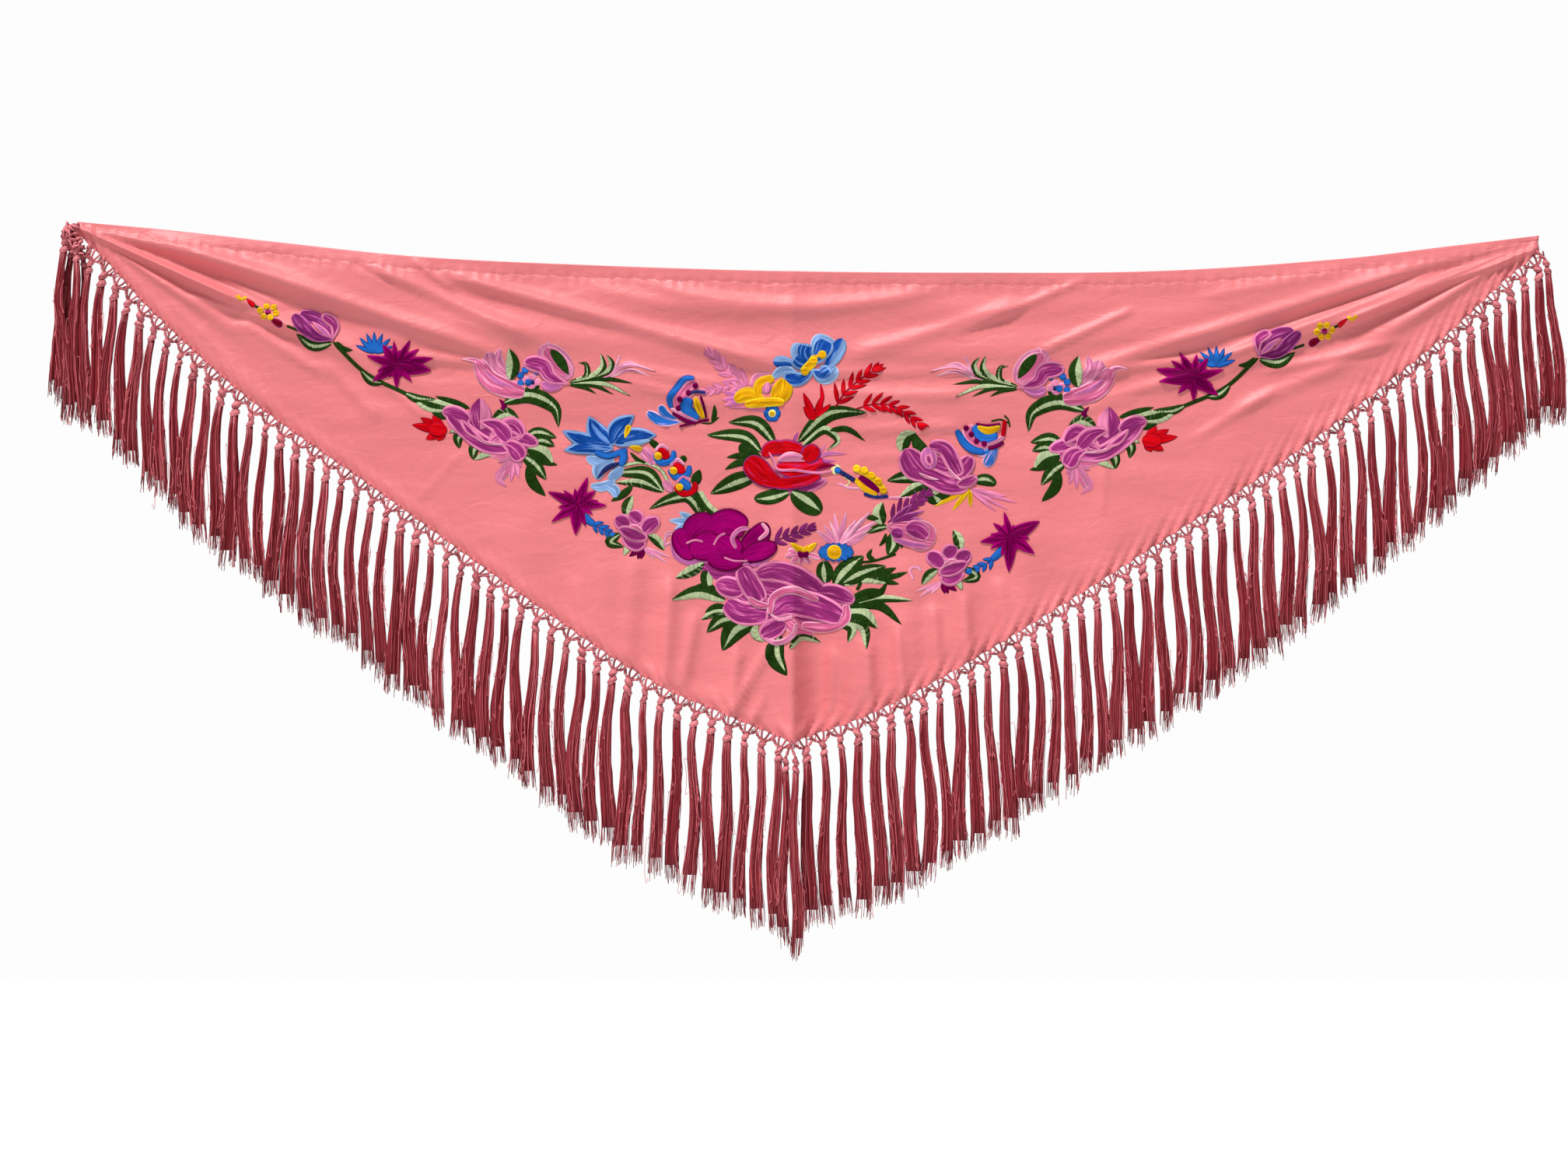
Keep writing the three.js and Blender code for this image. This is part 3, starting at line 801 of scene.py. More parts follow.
def tassel_threads(gathered, tassel, rng):
    """The loose threads of one tassel round a core whose darker tint is painted shade within the bundle."""
    steps = np.linspace(0, 1, THREAD_STEPS)
    ends = tassel.length * (1 - 0.07 * rng.random(THREADS) ** 2 + 0.015 * rng.normal(size=THREADS))
    downs = NECK_DOWN + (ends[:, None] - NECK_DOWN) * steps
    centre = tassel.centre(downs)
    around = rng.uniform(0, 2 * np.pi, THREADS)[:, None] + rng.normal(0, 0.5, THREADS)[:, None] * steps
    reach = 0.35 + 0.65 * np.sqrt(rng.random(THREADS))[:, None]
    half_width = tassel.girth(downs, THREAD_WIDTHS) - THREAD_RADIUS
    half_depth = tassel.girth(downs, THREAD_DEPTHS) - THREAD_RADIUS
    wave = THREAD_WAVE * smooth_step(steps * 3) * rng.uniform(0.2, 1, THREADS)[:, None]
    waves, starts = rng.uniform(0.006, 0.016, THREADS), rng.uniform(0, 6.28, THREADS)
    swing = np.sin(downs / waves[:, None] + starts[:, None])
    paths = centre.copy()
    paths[..., 0] += np.cos(around) * reach * half_width + wave * swing
    paths[..., 1] += np.sin(around) * reach * half_depth + 0.5 * wave * np.roll(swing, 3, 0)
    radii = THREAD_RADIUS * lerp(1, 0.6, steps) * np.ones((THREADS, 1))
    points, faces = tubes(paths, radii, 3)
    # Each thread's tint differs at random, and about one in six is lifted much lighter as a painted
    # highlight
    tint = rng.uniform(-0.35, 0.45, THREADS) + rng.normal(0, 0.06) + 0.6 * (rng.random(THREADS) < 0.16)
    gathered.add(points, faces, tint=spread(tint, THREAD_STEPS, 3))
    # The core tubes are tinted darker than the threads, as painted shade within the tassel
    core_downs = lerp(NECK_DOWN, tassel.length * CORE_REACH, steps) * np.ones((3, 1))
    cores = tassel.centre(core_downs)
    cores[..., 0] += CORE_OFFSETS[:, None] * tassel.girth(core_downs, THREAD_WIDTHS)
    core_radii = tassel.girth(core_downs, THREAD_DEPTHS) * 0.55
    points, faces = tubes(cores, core_radii, 6)
    gathered.add(points, faces, tint=np.repeat(CORE_SHADE_TINTS, THREAD_STEPS * 6))


def stray_threads(gathered, tassel, rng):
    """A few threads that have sprung out of a tassel in loose curls."""
    steps = np.linspace(0, 1, STRAY_STEPS)
    start = tassel.length * rng.uniform(0.25, 0.8, STRAYS)[:, None]
    downs = start + rng.uniform(0.025, 0.055, STRAYS)[:, None] * (steps - 0.25 * np.sin(steps * 7))
    side = rng.choice([-1.0, 1.0], STRAYS)[:, None]
    bow = rng.uniform(-0.003, 0.004, STRAYS)[:, None] * np.sin(np.pi * steps)
    out = tassel.girth(downs, THREAD_WIDTHS) + bow
    curl = 0.0016 * np.sin(steps * rng.uniform(5, 12, STRAYS)[:, None])
    paths = tassel.centre(downs)
    paths[..., 0] += side * (out * rng.uniform(0.3, 1, STRAYS)[:, None] + curl)
    paths[..., 1] -= tassel.girth(downs, THREAD_DEPTHS) + 0.001 * np.sin(np.pi * steps)
    points, faces = tubes(paths, STRAY_RADIUS, 3)
    gathered.add(points, faces, tint=spread(rng.uniform(0.75, 1.2, STRAYS), STRAY_STEPS, 3))


def ring_paths(centres, radii, flat, tilt, lean, steps=RING_STEPS):
    """Closed rings round a cord that runs down at a lean, each tilted, as turns of a knot are."""
    turn = np.linspace(0, 2 * np.pi, steps, endpoint=False)
    x = np.cos(turn) * radii[:, None]
    y = np.sin(turn) * radii[:, None] * flat
    z = x * np.tan(tilt)[:, None]
    c, s = np.cos(lean)[:, None], np.sin(lean)[:, None]
    return centres[:, None] + np.stack([x * c + z * s, y + 0 * x, z * c - x * s], -1)


def tassel_heads(gathered, tassels, rng):
    """Each head is two knots, one over the other, of turns wound round a core."""
    for tassel in tassels:
        for down, radius in zip(LOBE_DOWNS, LOBE_RADII):
            radius = radius * tassel.width
            above, middle, below = tassel.centre(down + np.array([-LOBE_REACH, 0, LOBE_REACH]))
            lean = -math.atan2(below[0] - above[0], 2 * LOBE_REACH)
            tilt = rng.choice([-1, 1]) * rng.uniform(0.35, 0.75)
            direction = unit(below - above)
            centres = middle + LOBE_TURN_SHIFTS[:, None] * direction
            tilts = np.array([tilt, tilt * 0.8, tilt])
            paths = ring_paths(centres, radius * LOBE_TURN_SIZES, 0.9, tilts, np.full(3, lean))
            reference = np.array([math.sin(lean + tilt / 2), 0, math.cos(lean + tilt / 2)])
            points, faces = tubes(paths, radius * LOBE_TURN_GIRTH, 5, reference, closed=True)
            gathered.add(points, faces, tint=spread(rng.uniform(0.25, 1.1, 3), RING_STEPS, 5))
            core = middle + LOBE_CORE_ENDS * direction * radius
            points, faces = tubes(core[None], radius * LOBE_CORE, 6)
            gathered.add(points, faces, tint=np.full(points.size // 3, 0.35))
        throat = tassel.centre(np.array(THROAT_DOWNS))[None]
        points, faces = tubes(throat, np.array([THROAT_RADII]) * tassel.width, 6)
        gathered.add(points, faces, tint=np.full(points.size // 3, 0.1))


def double_cords(gathered, paths, rng, tint=(0.15, 1.0)):
    """Two thin threads twisted round each other along each path."""
    count, steps = paths.shape[:2]
    turn = np.linspace(0, CORD_TWIST, steps) + rng.uniform(0, 6.28, count)[:, None]
    tangent = unit(np.gradient(paths, axis=1))
    across = unit(np.cross(tangent, (0, 1, 0)))
    offset = across * np.cos(turn)[..., None] + np.array([0, 1, 0]) * np.sin(turn)[..., None]
    for sign in (-1, 1):
        points, faces = tubes(paths + sign * DOUBLE_CORD * offset, CORD_RADIUS, CORD_SIDES)
        gathered.add(points, faces, tint=spread(rng.uniform(*tint, count), steps, CORD_SIDES))


def quadratic(a, b, c, steps=CORD_STEPS):
    """Points of one bent line from a to c, drawn towards b, for each row of the arrays."""
    t = np.linspace(0, 1, steps)[None, :, None]
    a, b, c = a[:, None], b[:, None], c[:, None]
    return a * (1 - t) ** 2 + 2 * b * t * (1 - t) + c * t * t


def on_hem(points, face):
    """Points moved to one face of the cloth, just clear of it."""
    held = points.copy()
    held[:, 1] = cloth_depth(points[:, 0], points[:, 2]) + face * HEM_HOLD
    return held


def fringe_net(gathered, knots, bare, rng):
    """Loops through the hem with small knots below, and cords and fans from the hem to each head."""
    outward = moved_out(knots, 1.0) - knots
    along = unit(np.gradient(knots, axis=0))
    small = knots + KNOT_BELOW * outward
    hold = on_hem(knots - HOLD_ABOVE * outward - HOLD_BEFORE * along, FRONT)
    bend = (hold + small) / 2 - (0, FRONT_BULGE, 0)
    double_cords(gathered, quadratic(hold, bend, small, 6), rng, (0.7, 1.3))
    behind = on_hem(hold, BACK)
    bend = (behind + small) / 2 + (0, BACK_BULGE, 0)
    double_cords(gathered, quadratic(behind, bend, small, 5), rng)
    count = len(small)
    for side in (-1, 0, 1):
        centres = small + side * HEM_LOOP_SHIFT * along + rng.normal(0, 0.6 * MM, (count, 3))
        sizes = rng.uniform(*HEM_LOOPS, count)
        tilts, leans = rng.uniform(0.5, 1.2, count), rng.uniform(-1, 1, count)
        rings = ring_paths(centres, sizes, 0.8, tilts, leans, HEM_LOOP_STEPS)
        points, faces = tubes(rings, HEM_LOOP_THREAD, 4, HEM_LOOP_AXIS, closed=True)
        gathered.add(points, faces, tint=spread(rng.uniform(0.1, 1.3, count), HEM_LOOP_STEPS, 4))
    feet, _ = net_feet(knots)
    top = feet - (0, 0, HEAD_TOP)
    for start, side in ((small[:-1], 1), (small[1:], -1)):
        bend = start + NET_BEND_OUT * outward[:-1] + side * NET_BEND_ALONG * along[:-1]
        double_cords(gathered, quadratic(start[bare:], bend[bare:], top[bare:]), rng)
    for share in FAN_SHARES:
        edge = lerp(knots[:-1], knots[1:], share)[bare:]
        start = on_hem(edge - FAN_ABOVE * outward[bare:-1], FRONT)
        bend = edge + FAN_BEND * outward[bare:-1]
        points, faces = tubes(quadratic(start, bend, top[bare:]), FAN_RADIUS, CORD_SIDES)
        gathered.add(points, faces, tint=spread(rng.uniform(0.1, 1.0, len(start)), CORD_STEPS, CORD_SIDES))


def hanging_cords(gathered, start, tassels, rng):
    ends = np.array([tassel.root for tassel in tassels])
    starts = np.repeat(np.array(start)[None], len(ends), 0)
    bend = (starts + ends) / 2 - (0, MM, 0)
    double_cords(gathered, quadratic(starts, bend, ends), rng)


CLUMP_LOOPS = 56
CLUMP_SIZES = (0.0022, 0.0046)
CLUMP_THREADS = (0.0010, 0.0017)
CLUMP_AXIS = np.array([0.2, 0.3, 0.93])
CLUMP_CORE = 0.72
CLUMP_SHIFT = 0.0035
CLUMP_REACH = 0.75


def corner_clump(gathered, depth, rng):
    """The end of the net, gathered up at the left corner into a tangle of small loops and knots."""
    spots = np.array([(x, depth, z) for x, z, _ in CORNER_KNOTS])
    girths = np.array([width / 2 for *_, width in CORNER_KNOTS])
    points, faces = tubes(spots[None], girths[None] * CLUMP_CORE, 8)
    gathered.add(points, faces, tint=np.full(points.size // 3, 0.1))
    steps = np.sort(rng.uniform(0, 3, CLUMP_LOOPS))
    centre = np.stack([np.interp(steps, range(4), spots[:, k]) for k in range(3)], 1)
    reach = np.interp(steps, range(4), girths)
    around = rng.uniform(0, 2 * np.pi, CLUMP_LOOPS)
    centre[:, 0] += np.cos(around) * reach * CLUMP_REACH + CLUMP_SHIFT
    centre[:, 1] += np.sin(around) * reach * CLUMP_REACH
    centre[:, 2] += rng.uniform(-0.002, 0.002, CLUMP_LOOPS)
    for place in centre:
        tilt, lean = rng.uniform(-1, 1, 2)
        size = np.array([rng.uniform(*CLUMP_SIZES)])
        path = ring_paths(place[None], size, 0.8, np.array([tilt]), np.array([lean]))
        points, faces = tubes(path, rng.uniform(*CLUMP_THREADS), 5, CLUMP_AXIS, closed=True)
        gathered.add(points, faces, tint=np.full(points.size // 3, rng.uniform(0.2, 1.4)))


def fringe_pieces():
    """The net and the tassels of each short edge."""
    threads_look = fringe_material("fringe_threads", (0.25, 0.020, 0.030, 1), (0.80, 0.19, 0.22, 1), 0.36)
    cords_look = fringe_material("fringe_cords", (0.20, 0.016, 0.026, 1), (0.80, 0.24, 0.27, 1), 0.33)
    pieces = []
    depths = edge_polyline(np.array([-SPAN, TIP_X, 0]))[:, 1]
    left = row_of_tassels(LEFT_KNOTS, 1)
    corner = [single_tassel(spot, depths[0], 300 + n) for n, spot in enumerate(CORNER_TASSELS)]
    pair = [single_tassel(spot, depths[1], 400 + n) for n, spot in enumerate(TIP_TASSELS)]
    right = row_of_tassels(RIGHT_KNOTS, 0)
    end = single_tassel(END_TASSEL, depths[2], 500)
    for side, knots, tassels, seed in (
        ("left", LEFT_KNOTS, [*left, *corner, *pair], 5),
        ("right", RIGHT_KNOTS, [*right, end], 9),
    ):
        rng = np.random.default_rng(seed)
        net, threads = Gathered(), Gathered()
        fringe_net(net, knots, 1 if side == "left" else 0, rng)
        tassel_heads(net, tassels, rng)
        if side == "left":
            corner_clump(net, depths[0], rng)
            hanging_cords(net, knots[-1] - np.array([0, 0, 0.001]), pair, rng)
        else:
            hanging_cords(net, knots[-1], [end], rng)
        for tassel in tassels:
            tassel_threads(threads, tassel, rng)
            stray_threads(threads, tassel, rng)
        pieces.append(net.piece(f"{side}_net", cords_look, "fringe", f"{side}_fringe"))
        pieces.append(threads.piece(f"{side}_tassels", threads_look, "fringe", f"{side}_fringe"))
    return pieces


# Dyes of the embroidery's threads, in the tones from 0 to 255 in which they show
DYES = {
    "dark green": (36, 64, 20),
    "pale green": (188, 202, 156),
    "purple": (160, 50, 122),
    "deep purple": (128, 38, 104),
    "pink": (240, 136, 180),
    "rose pink": (226, 106, 152),
    "pale pink": (247, 186, 208),
    "lilac": (206, 110, 178),
    "plum": (112, 2, 70),
    "magenta": (166, 2, 110),
    "scarlet": (222, 8, 22),
    "crimson": (150, 4, 44),
    "deep blue": (22, 78, 168),
    "blue": (40, 112, 204),
    "light blue": (134, 172, 226),
    "pale blue": (178, 206, 240),
    "navy": (40, 48, 110),
    "golden": (246, 176, 16),
    "yellow": (250, 214, 40),
    "cream": (244, 226, 160),
}
LIGHT_SHARE = 1.08
MOST_LIGHT = 0.9

# How a patch is stitched: its pattern, the dyes outside and inside it, its size and the way of its threads
LOOKS = {
    "leaf": ("spindle", "dark green", "pale green", 0.27, "across"),
    "half leaf": ("half", "dark green", "pale green", 0.0, "across"),
    "far half leaf": ("half", "pale green", "dark green", 0.0, "across"),
    "green": ("plain", "dark green", "dark green", 0.0, "across"),
    "pale green": ("rim", "dark green", "pale green", 0.5, "across"),
    "pale": ("plain", "pale green", "pale green", 0.0, "across"),
    "mauve": ("rim", "pink", "purple", 3.1, "along"),
    "lilac": ("rim", "pink", "lilac", 1.6, "along"),
    "purple": ("rim", "lilac", "purple", 0.8, "along"),
    "deep purple": ("rim", "lilac", "deep purple", 1.1, "along"),
    "plain purple": ("plain", "deep purple", "deep purple", 0.0, "along"),
    "rose pink": ("rim", "pale pink", "rose pink", 1.2, "along"),
    "pink": ("rim", "pale pink", "pink", 0.8, "along"),
    "plain pink": ("plain", "pink", "pink", 0.0, "along"),
    "halved petal": ("half", "pink", "purple", 0.0, "along"),
    "magenta": ("rim", "plum", "magenta", 2.6, "along"),
    "star": ("rim", "magenta", "plum", 2.2, "along"),
    "plum": ("plain", "plum", "plum", 0.0, "along"),
    "scarlet": ("rim", "crimson", "scarlet", 0.7, "along"),
    "red": ("rim", "purple", "scarlet", 1.7, "along"),
    "dark red": ("rim", "purple", "crimson", 1.2, "along"),
    "blue": ("rim", "light blue", "deep blue", 3.0, "along"),
    "bright blue": ("rim", "deep blue", "blue", 1.0, "along"),
    "tail blue": ("rim", "pale pink", "blue", 1.5, "along"),
    "halved blue": ("half", "light blue", "deep blue", 0.0, "along"),
    "light blue": ("rim", "pale blue", "light blue", 1.8, "along"),
    "navy": ("plain", "navy", "navy", 0.0, "across"),
    "yellow": ("rim", "yellow", "golden", 1.4, "along"),
    "cream": ("plain", "cream", "cream", 0.0, "across"),
}

# How wide a patch is along its length
SHAPES = {
    "leaf": lambda t: t**0.65 * (1 - t) ** 0.85,
    "petal": lambda t: t**0.7 * np.sqrt(1 - t**3),
    "oval": lambda t: np.sqrt(t * (1 - t)),
    "blade": lambda t: (t + 0.04) ** 0.3 * (1 - t) ** 0.8,
    "band": lambda t: (t * (1 - t)) ** 0.24,
    "stem": lambda t: np.minimum(1, 5 * np.sqrt(t * (1 - t))),
}

# Places on the cloth are in millimetres, across from its middle line and down from the held corners
ARM_STRETCH = 1.02
ARM_DROP = 8
ARM_SLOPE = 0.05
STITCH_LIFT = 0.22 * MM
BACK_LIFT = 0.35 * MM
STITCH_DOME = 0.50 * MM
STITCH_SUNK = 0.20 * MM
LAYER_STEP = 0.55 * MM
UNDERSIDE_STEP = 4.5
ORDER_STEP = 0.012 * MM
ORDERS = 16
CHEVRON = 0.6
STEP_LENGTH = 2.8
END_STEPS = 5
MOST_STEPS = 60
END_CROWDING = 0.6
LEAST_HALF = 0.05 * MM
DOMED_FROM = 2.2 * MM
DOME_FALL = 0.94
SPINDLE_SWELL = 2.6
SPINDLE_START = 0.25
SPINDLE_MOST = 1.1
SPINDLE_OFFSET = 0.12
OUTSIDE = -10 * MM
THREAD_SHIFT = 0.37
SHADES = (0.84, 1.10)


def shown_as(tones):
    """Shown tones as the share of light that the thread throws back."""
    share = np.asarray(tones) / 255
    linear = np.where(share > 0.04045, ((share + 0.055) / 1.055) ** 2.4, share / 12.92)
    return np.minimum(linear / LIGHT_SHARE, MOST_LIGHT)


class Stitches:
    """Satin-stitched patches for one piece, on the front or the back of the cloth."""

    def __init__(self, face, seed):
        self.gathered, self.face, self.rng = Gathered(), face, np.random.default_rng(seed)
        self.mirrored, self.order = False, 0
        self.fineness, self.columns, self.column_width = (1.0, 4, 2.2) if face == FRONT else (0.5, 3, 6)

    def on_cloth(self, places):
        """x and z of places in the embroidery's millimetres. A mirrored arm is a little lower and longer."""
        across, down = np.asarray(places, float).T
        if self.mirrored:
            across, down = -ARM_STRETCH * across, down - ARM_DROP - ARM_SLOPE * across
        return np.stack([MIDDLE_X + across * MM, -down * MM], -1)

    def patch(self, shape, look, layer, width, *places):
        """One patch of stitches along a smooth line through the places."""
        corners = self.on_cloth(places)
        chords = np.concatenate([[0], np.cumsum(np.linalg.norm(np.diff(corners, axis=0), axis=1))])
        length = chords[-1]
        wanted = round(self.fineness * (length / MM / STEP_LENGTH + END_STEPS))
        steps = int(np.clip(wanted, END_STEPS, MOST_STEPS))
        even = np.arange(steps + 1) / steps
        share = lerp(even, (1 - np.cos(np.pi * even)) / 2, END_CROWDING)
        spine = np.stack([smooth_through(chords, corners[:, k], share * length) for k in range(2)], -1)
        tangent = unit(np.gradient(spine, axis=0))
        side = np.stack([-tangent[:, 1], tangent[:, 0]], -1)
        half = SHAPES[shape](share)
        half = np.maximum(half / half.max() * width * MM / 2, LEAST_HALF)
        s = np.linspace(-1, 1, max(self.columns, round(width / self.column_width)) + 1)
        plan = spine[:, None] + side[:, None] * half[:, None, None] * s[:, None]
        self.order += 1
        base = STITCH_LIFT + layer * LAYER_STEP + (self.order % ORDERS) * ORDER_STEP
        if self.face == BACK:
            base += BACK_LIFT
        puff = STITCH_DOME * np.minimum(1, half / DOMED_FROM)[:, None]
        height = base + puff * np.sqrt(1 - DOME_FALL * s**2)
        under = np.linspace(1, -1, max(1, round(width / UNDERSIDE_STEP)) + 1)
        below = spine[:, None] + side[:, None] * half[:, None, None] * under[:, None]
        height = np.concatenate([height, np.full(below.shape[:2], -STITCH_SUNK)], 1)
        plan = np.concatenate([plan, below], 1)
        s = np.concatenate([s, under])
        y = cloth_depth(plan[..., 0], plan[..., 1]) + self.face * (CREPE / 2 + height)
        points = np.stack([plan[..., 0], y, plan[..., 1]], -1)
        self.add(points, look, share[:, None], s[None], half[:, None], length)

    def add(self, points, look, t, s, half, length):
        pattern, outer, inner, size, way = LOOKS[look]
        off, run = s * half, t * length
        if pattern == "rim":
            inside = np.minimum((1 - np.abs(s)) * half, (1 - t) * length) - size * MM
        elif pattern == "spindle":
            swell = np.clip(SPINDLE_SWELL * (1 - t) * (t + SPINDLE_START), 0, SPINDLE_MOST)
            inside = half * (size * swell - np.abs(s - SPINDLE_OFFSET))
        elif pattern == "half":
            inside = off * (-1 if self.mirrored else 1)
        else:
            inside = np.full(points.shape[:2], OUTSIDE)
        if way == "across":
            thread = (run + CHEVRON * np.abs(off), off + 0 * t)
        else:
            thread = (s * half.max() + 0 * t, run + 0 * s)
        where = np.stack([thread[0], thread[1], np.full(points.shape[:2], self.order * THREAD_SHIFT)], -1)
        count, around = points.shape[:2]
        index = np.arange(count * around).reshape(count, around)
        if self.face == FRONT:
            index = index[:, ::-1]
        turned = np.roll(index, -1, 1)
        quads = np.stack([index[:-1], turned[:-1], turned[1:], index[1:]], -1).reshape(-1, 4)
        faces = [quads, index[:1, ::-1], index[-1:]]
        shade = self.rng.uniform(*SHADES)
        self.gathered.add(
            points,
            faces,
            outer=np.broadcast_to(shown_as(DYES[outer]) * shade, (count * around, 3)),
            inner=np.broadcast_to(shown_as(DYES[inner]) * shade, (count * around, 3)),
            inside=(inside + 0 * off).ravel() / MM,
            thread=where.reshape(-1, 3),
        )

    def rows(self, rows):
        for row in rows:
            self.patch(*row)

    def rays(self, look, layer, width, root, tips, shape="leaf"):
        for tip in tips:
            self.patch(shape, look, layer, width, root, tip)

    def spiky(self, look, layer, root, tips):
        """A star of pointed petals with shorter ones between."""
        root = np.array(root, float)
        tips = [np.array(tip, float) for tip in tips]
        for tip, following in zip(tips, tips[1:] + tips[:1]):
            between = root + 0.62 * ((tip + following) / 2 - root)
            self.patch("blade", look, layer, 10, root, between)
        for tip in tips:
            share = self.rng.uniform(0.28, 0.46)
            self.patch("blade", look, layer + 1, max(8, share * np.linalg.norm(tip - root)), root, tip)

    def frond(self, look, layer, width, reach, pairs, *stem):
        """A stem with leaflets in pairs, shorter towards its tip."""
        stem = np.array(stem, float)
        chords = np.concatenate([[0], np.cumsum(np.linalg.norm(np.diff(stem, axis=0), axis=1))])
        self.patch("stem", look, layer, max(1.2, width * 0.35), *stem)
        for n in range(pairs):
            share = 0.12 + 0.84 * n / max(1, pairs - 1)
            here, ahead = (
                np.array([smooth_through(chords, stem[:, k], chords[-1] * at) for k in range(2)])
                for at in (share, min(1, share + 0.02))
            )
            run = ahead - here if share < 0.95 else stem[-1] - stem[-2]
            way = math.atan2(run[1], run[0])
            for turn in (-0.62, 0.62) if n < pairs - 1 else (-0.5, 0, 0.5):
                angle = way + turn * (1.15 - 0.5 * share)
                size = reach * (1 - 0.35 * share) * (0.85 + 0.3 * self.rng.random())
                tip = here + size * np.array([math.cos(angle), math.sin(angle)])
                self.patch("leaf", look, layer, width, here, tip)

    def dots(self, look, layer, size, *places):
        for across, down in places:
            self.patch("oval", look, layer, size, (across - size / 2, down), (across + size / 2, down))


def silk_material():
    """Flat silk in satin stitch: streaks along the threads, and the dyes meeting in ragged lines."""
    shader = Shader("embroidery_silk", roughness=0.4, specular_ior_level=0.2)
    thread = shader.attribute("thread")
    streaks = shader.noise(thread, 1, (360, 34, 1), detail=3)
    fine = shader.noise(thread, 1, (2300, 80, 1), detail=1)
    ragged = shader.math("MULTIPLY", shader.math("SUBTRACT", fine, 0.5), 2.6)
    inside = shader.math("ADD", shader.attribute("inside", "Fac"), ragged)
    mottled = shader.ramp(streaks, 0.56, 0.66, 1, 0.5)
    within = shader.math("MULTIPLY", shader.ramp(inside, -0.18, 0.18), mottled)
    colour = shader.mix(within, shader.attribute("outer", "Color"), shader.attribute("inner", "Color"))
    broad_shade = shader.ramp(streaks, 0.34, 0.66, 0.62, 1.22)
    shade = shader.math("MULTIPLY", broad_shade, shader.ramp(fine, 0.3, 0.7, 0.84, 1.12))
    dyed = shader.scaled(colour, shade)
    shader.wire("Base Color", dyed)
    shader.wire("Specular Tint", colour)
    broad = shader.bump(streaks, 0.0009, 0.6)
    shader.wire("Normal", shader.bump(fine, 0.0005, 0.7, below=broad))
    return shader.material


# Hems: turned to the back as on the solids, and the long one sewn through
HEM_PLY = 1.0 * MM
HEM_GAP = 0.3 * MM
SIDE_HEM = 0.005
SIDE_SHARE = 0.3
TOP_SHARE = 0.45
HEM_ROWS = 4
HEM_IN = 1.5 * MM
HEM_BELOW_TOP = 0.2 * MM
HEM_ABOVE_EDGE = 0.6 * MM
TOP_HEM_COLUMNS = 400
SIDE_HEM_COLUMNS = 220
SIDE_HEMS = [
    ("left_hem", -SPAN + HEM_IN, TIP_X - TIP_STOP),
    ("right_hem", TIP_X + TIP_STOP, -HEM_IN),
]
SEWING_SEED = 31
SEWING_IN = 0.02
STITCH_PITCH = 3.2 * MM
STITCH_LENGTH = 2.0 * MM
SEWING_RADIUS = 0.28 * MM


def hem_piece(name, xs, low, high, material):
    """A turned hem behind the cloth between two heights at each x."""
    z = lerp(low[:, None], high[:, None], np.linspace(0, 1, HEM_ROWS + 1))[:, ::-1]
    x = np.repeat(xs[:, None], z.shape[1], 1)
    y = cloth_depth(x, z) + CREPE / 2 + HEM_GAP
    front, back = np.stack([x, y, z], -1), np.stack([x, y + HEM_PLY, z], -1)
    hem = Gathered()
    hem.add(*wall_between(front, back, *x.shape))
    return hem.piece(f"{name}_turned", material, "cloth", name)


def sewing(face, xs, z, rng):
    """A row of short stitches along a seam."""
    count = len(xs)
    along = np.linspace(-0.5, 0.5, 4)
    x = xs[:, None] + STITCH_LENGTH * along + rng.normal(0, 0.15 * MM, (count, 1))
    slant = rng.normal(0, 0.12, (count, 1))
    height = z[:, None] + slant * STITCH_LENGTH * along
    rise = np.array([0.1, 0.32, 0.32, 0.1]) * MM
    y = cloth_depth(x, height) + face * (CREPE / 2 + rise)
    return tubes(np.stack([x, y, height], -1), SEWING_RADIUS, 3)


def hem_pieces(material, thread_look):
    """The three hems and the running stitches that hold the long one."""
    xs = np.linspace(-SPAN + HEM_IN, -HEM_IN, TOP_HEM_COLUMNS)
    top, bottom, _ = outline(xs)
    drop = np.minimum(seam_depth(xs), TOP_SHARE * (top - bottom))
    pieces = [hem_piece("top_hem", xs, top - drop, top - HEM_BELOW_TOP, material)]
    for name, start, end in SIDE_HEMS:
        xs = np.linspace(start, end, SIDE_HEM_COLUMNS)
        top, bottom, _ = outline(xs)
        rise = np.minimum(SIDE_HEM, SIDE_SHARE * (top - bottom))
        pieces.append(hem_piece(name, xs, bottom + HEM_ABOVE_EDGE, bottom + rise, material))
    rng = np.random.default_rng(SEWING_SEED)
    xs = np.arange(-SPAN + SEWING_IN, -SEWING_IN, STITCH_PITCH)
    seam = on_edge(TOP_EDGE, xs) - seam_depth(xs)
    threads = Gathered()
    for face in (FRONT, BACK):
        points, faces = sewing(face, xs, seam, rng)
        threads.add(points, faces, tint=spread(rng.uniform(0.4, 1.0, len(xs)), 4, 3))
    pieces.append(threads.piece("hem_sewing", thread_look, "thread"))
    return pieces


# The motifs. Each row is a patch: shape, look, layer, width, and the places that its line runs through
def placed(across, down, places, flip=1):
    """Places of a small motif moved to where it lies, and turned round where flip is -1."""
    return [(across + flip * x, down + y) for x, y in places]


def tips_round(middle, count, across, down):
    """Tips of petals, evenly spaced on an oval round a middle."""
    turns = [2 * math.pi * n / count for n in range(count)]
    return [(middle[0] + across * math.cos(turn), middle[1] + down * math.sin(turn)) for turn in turns]


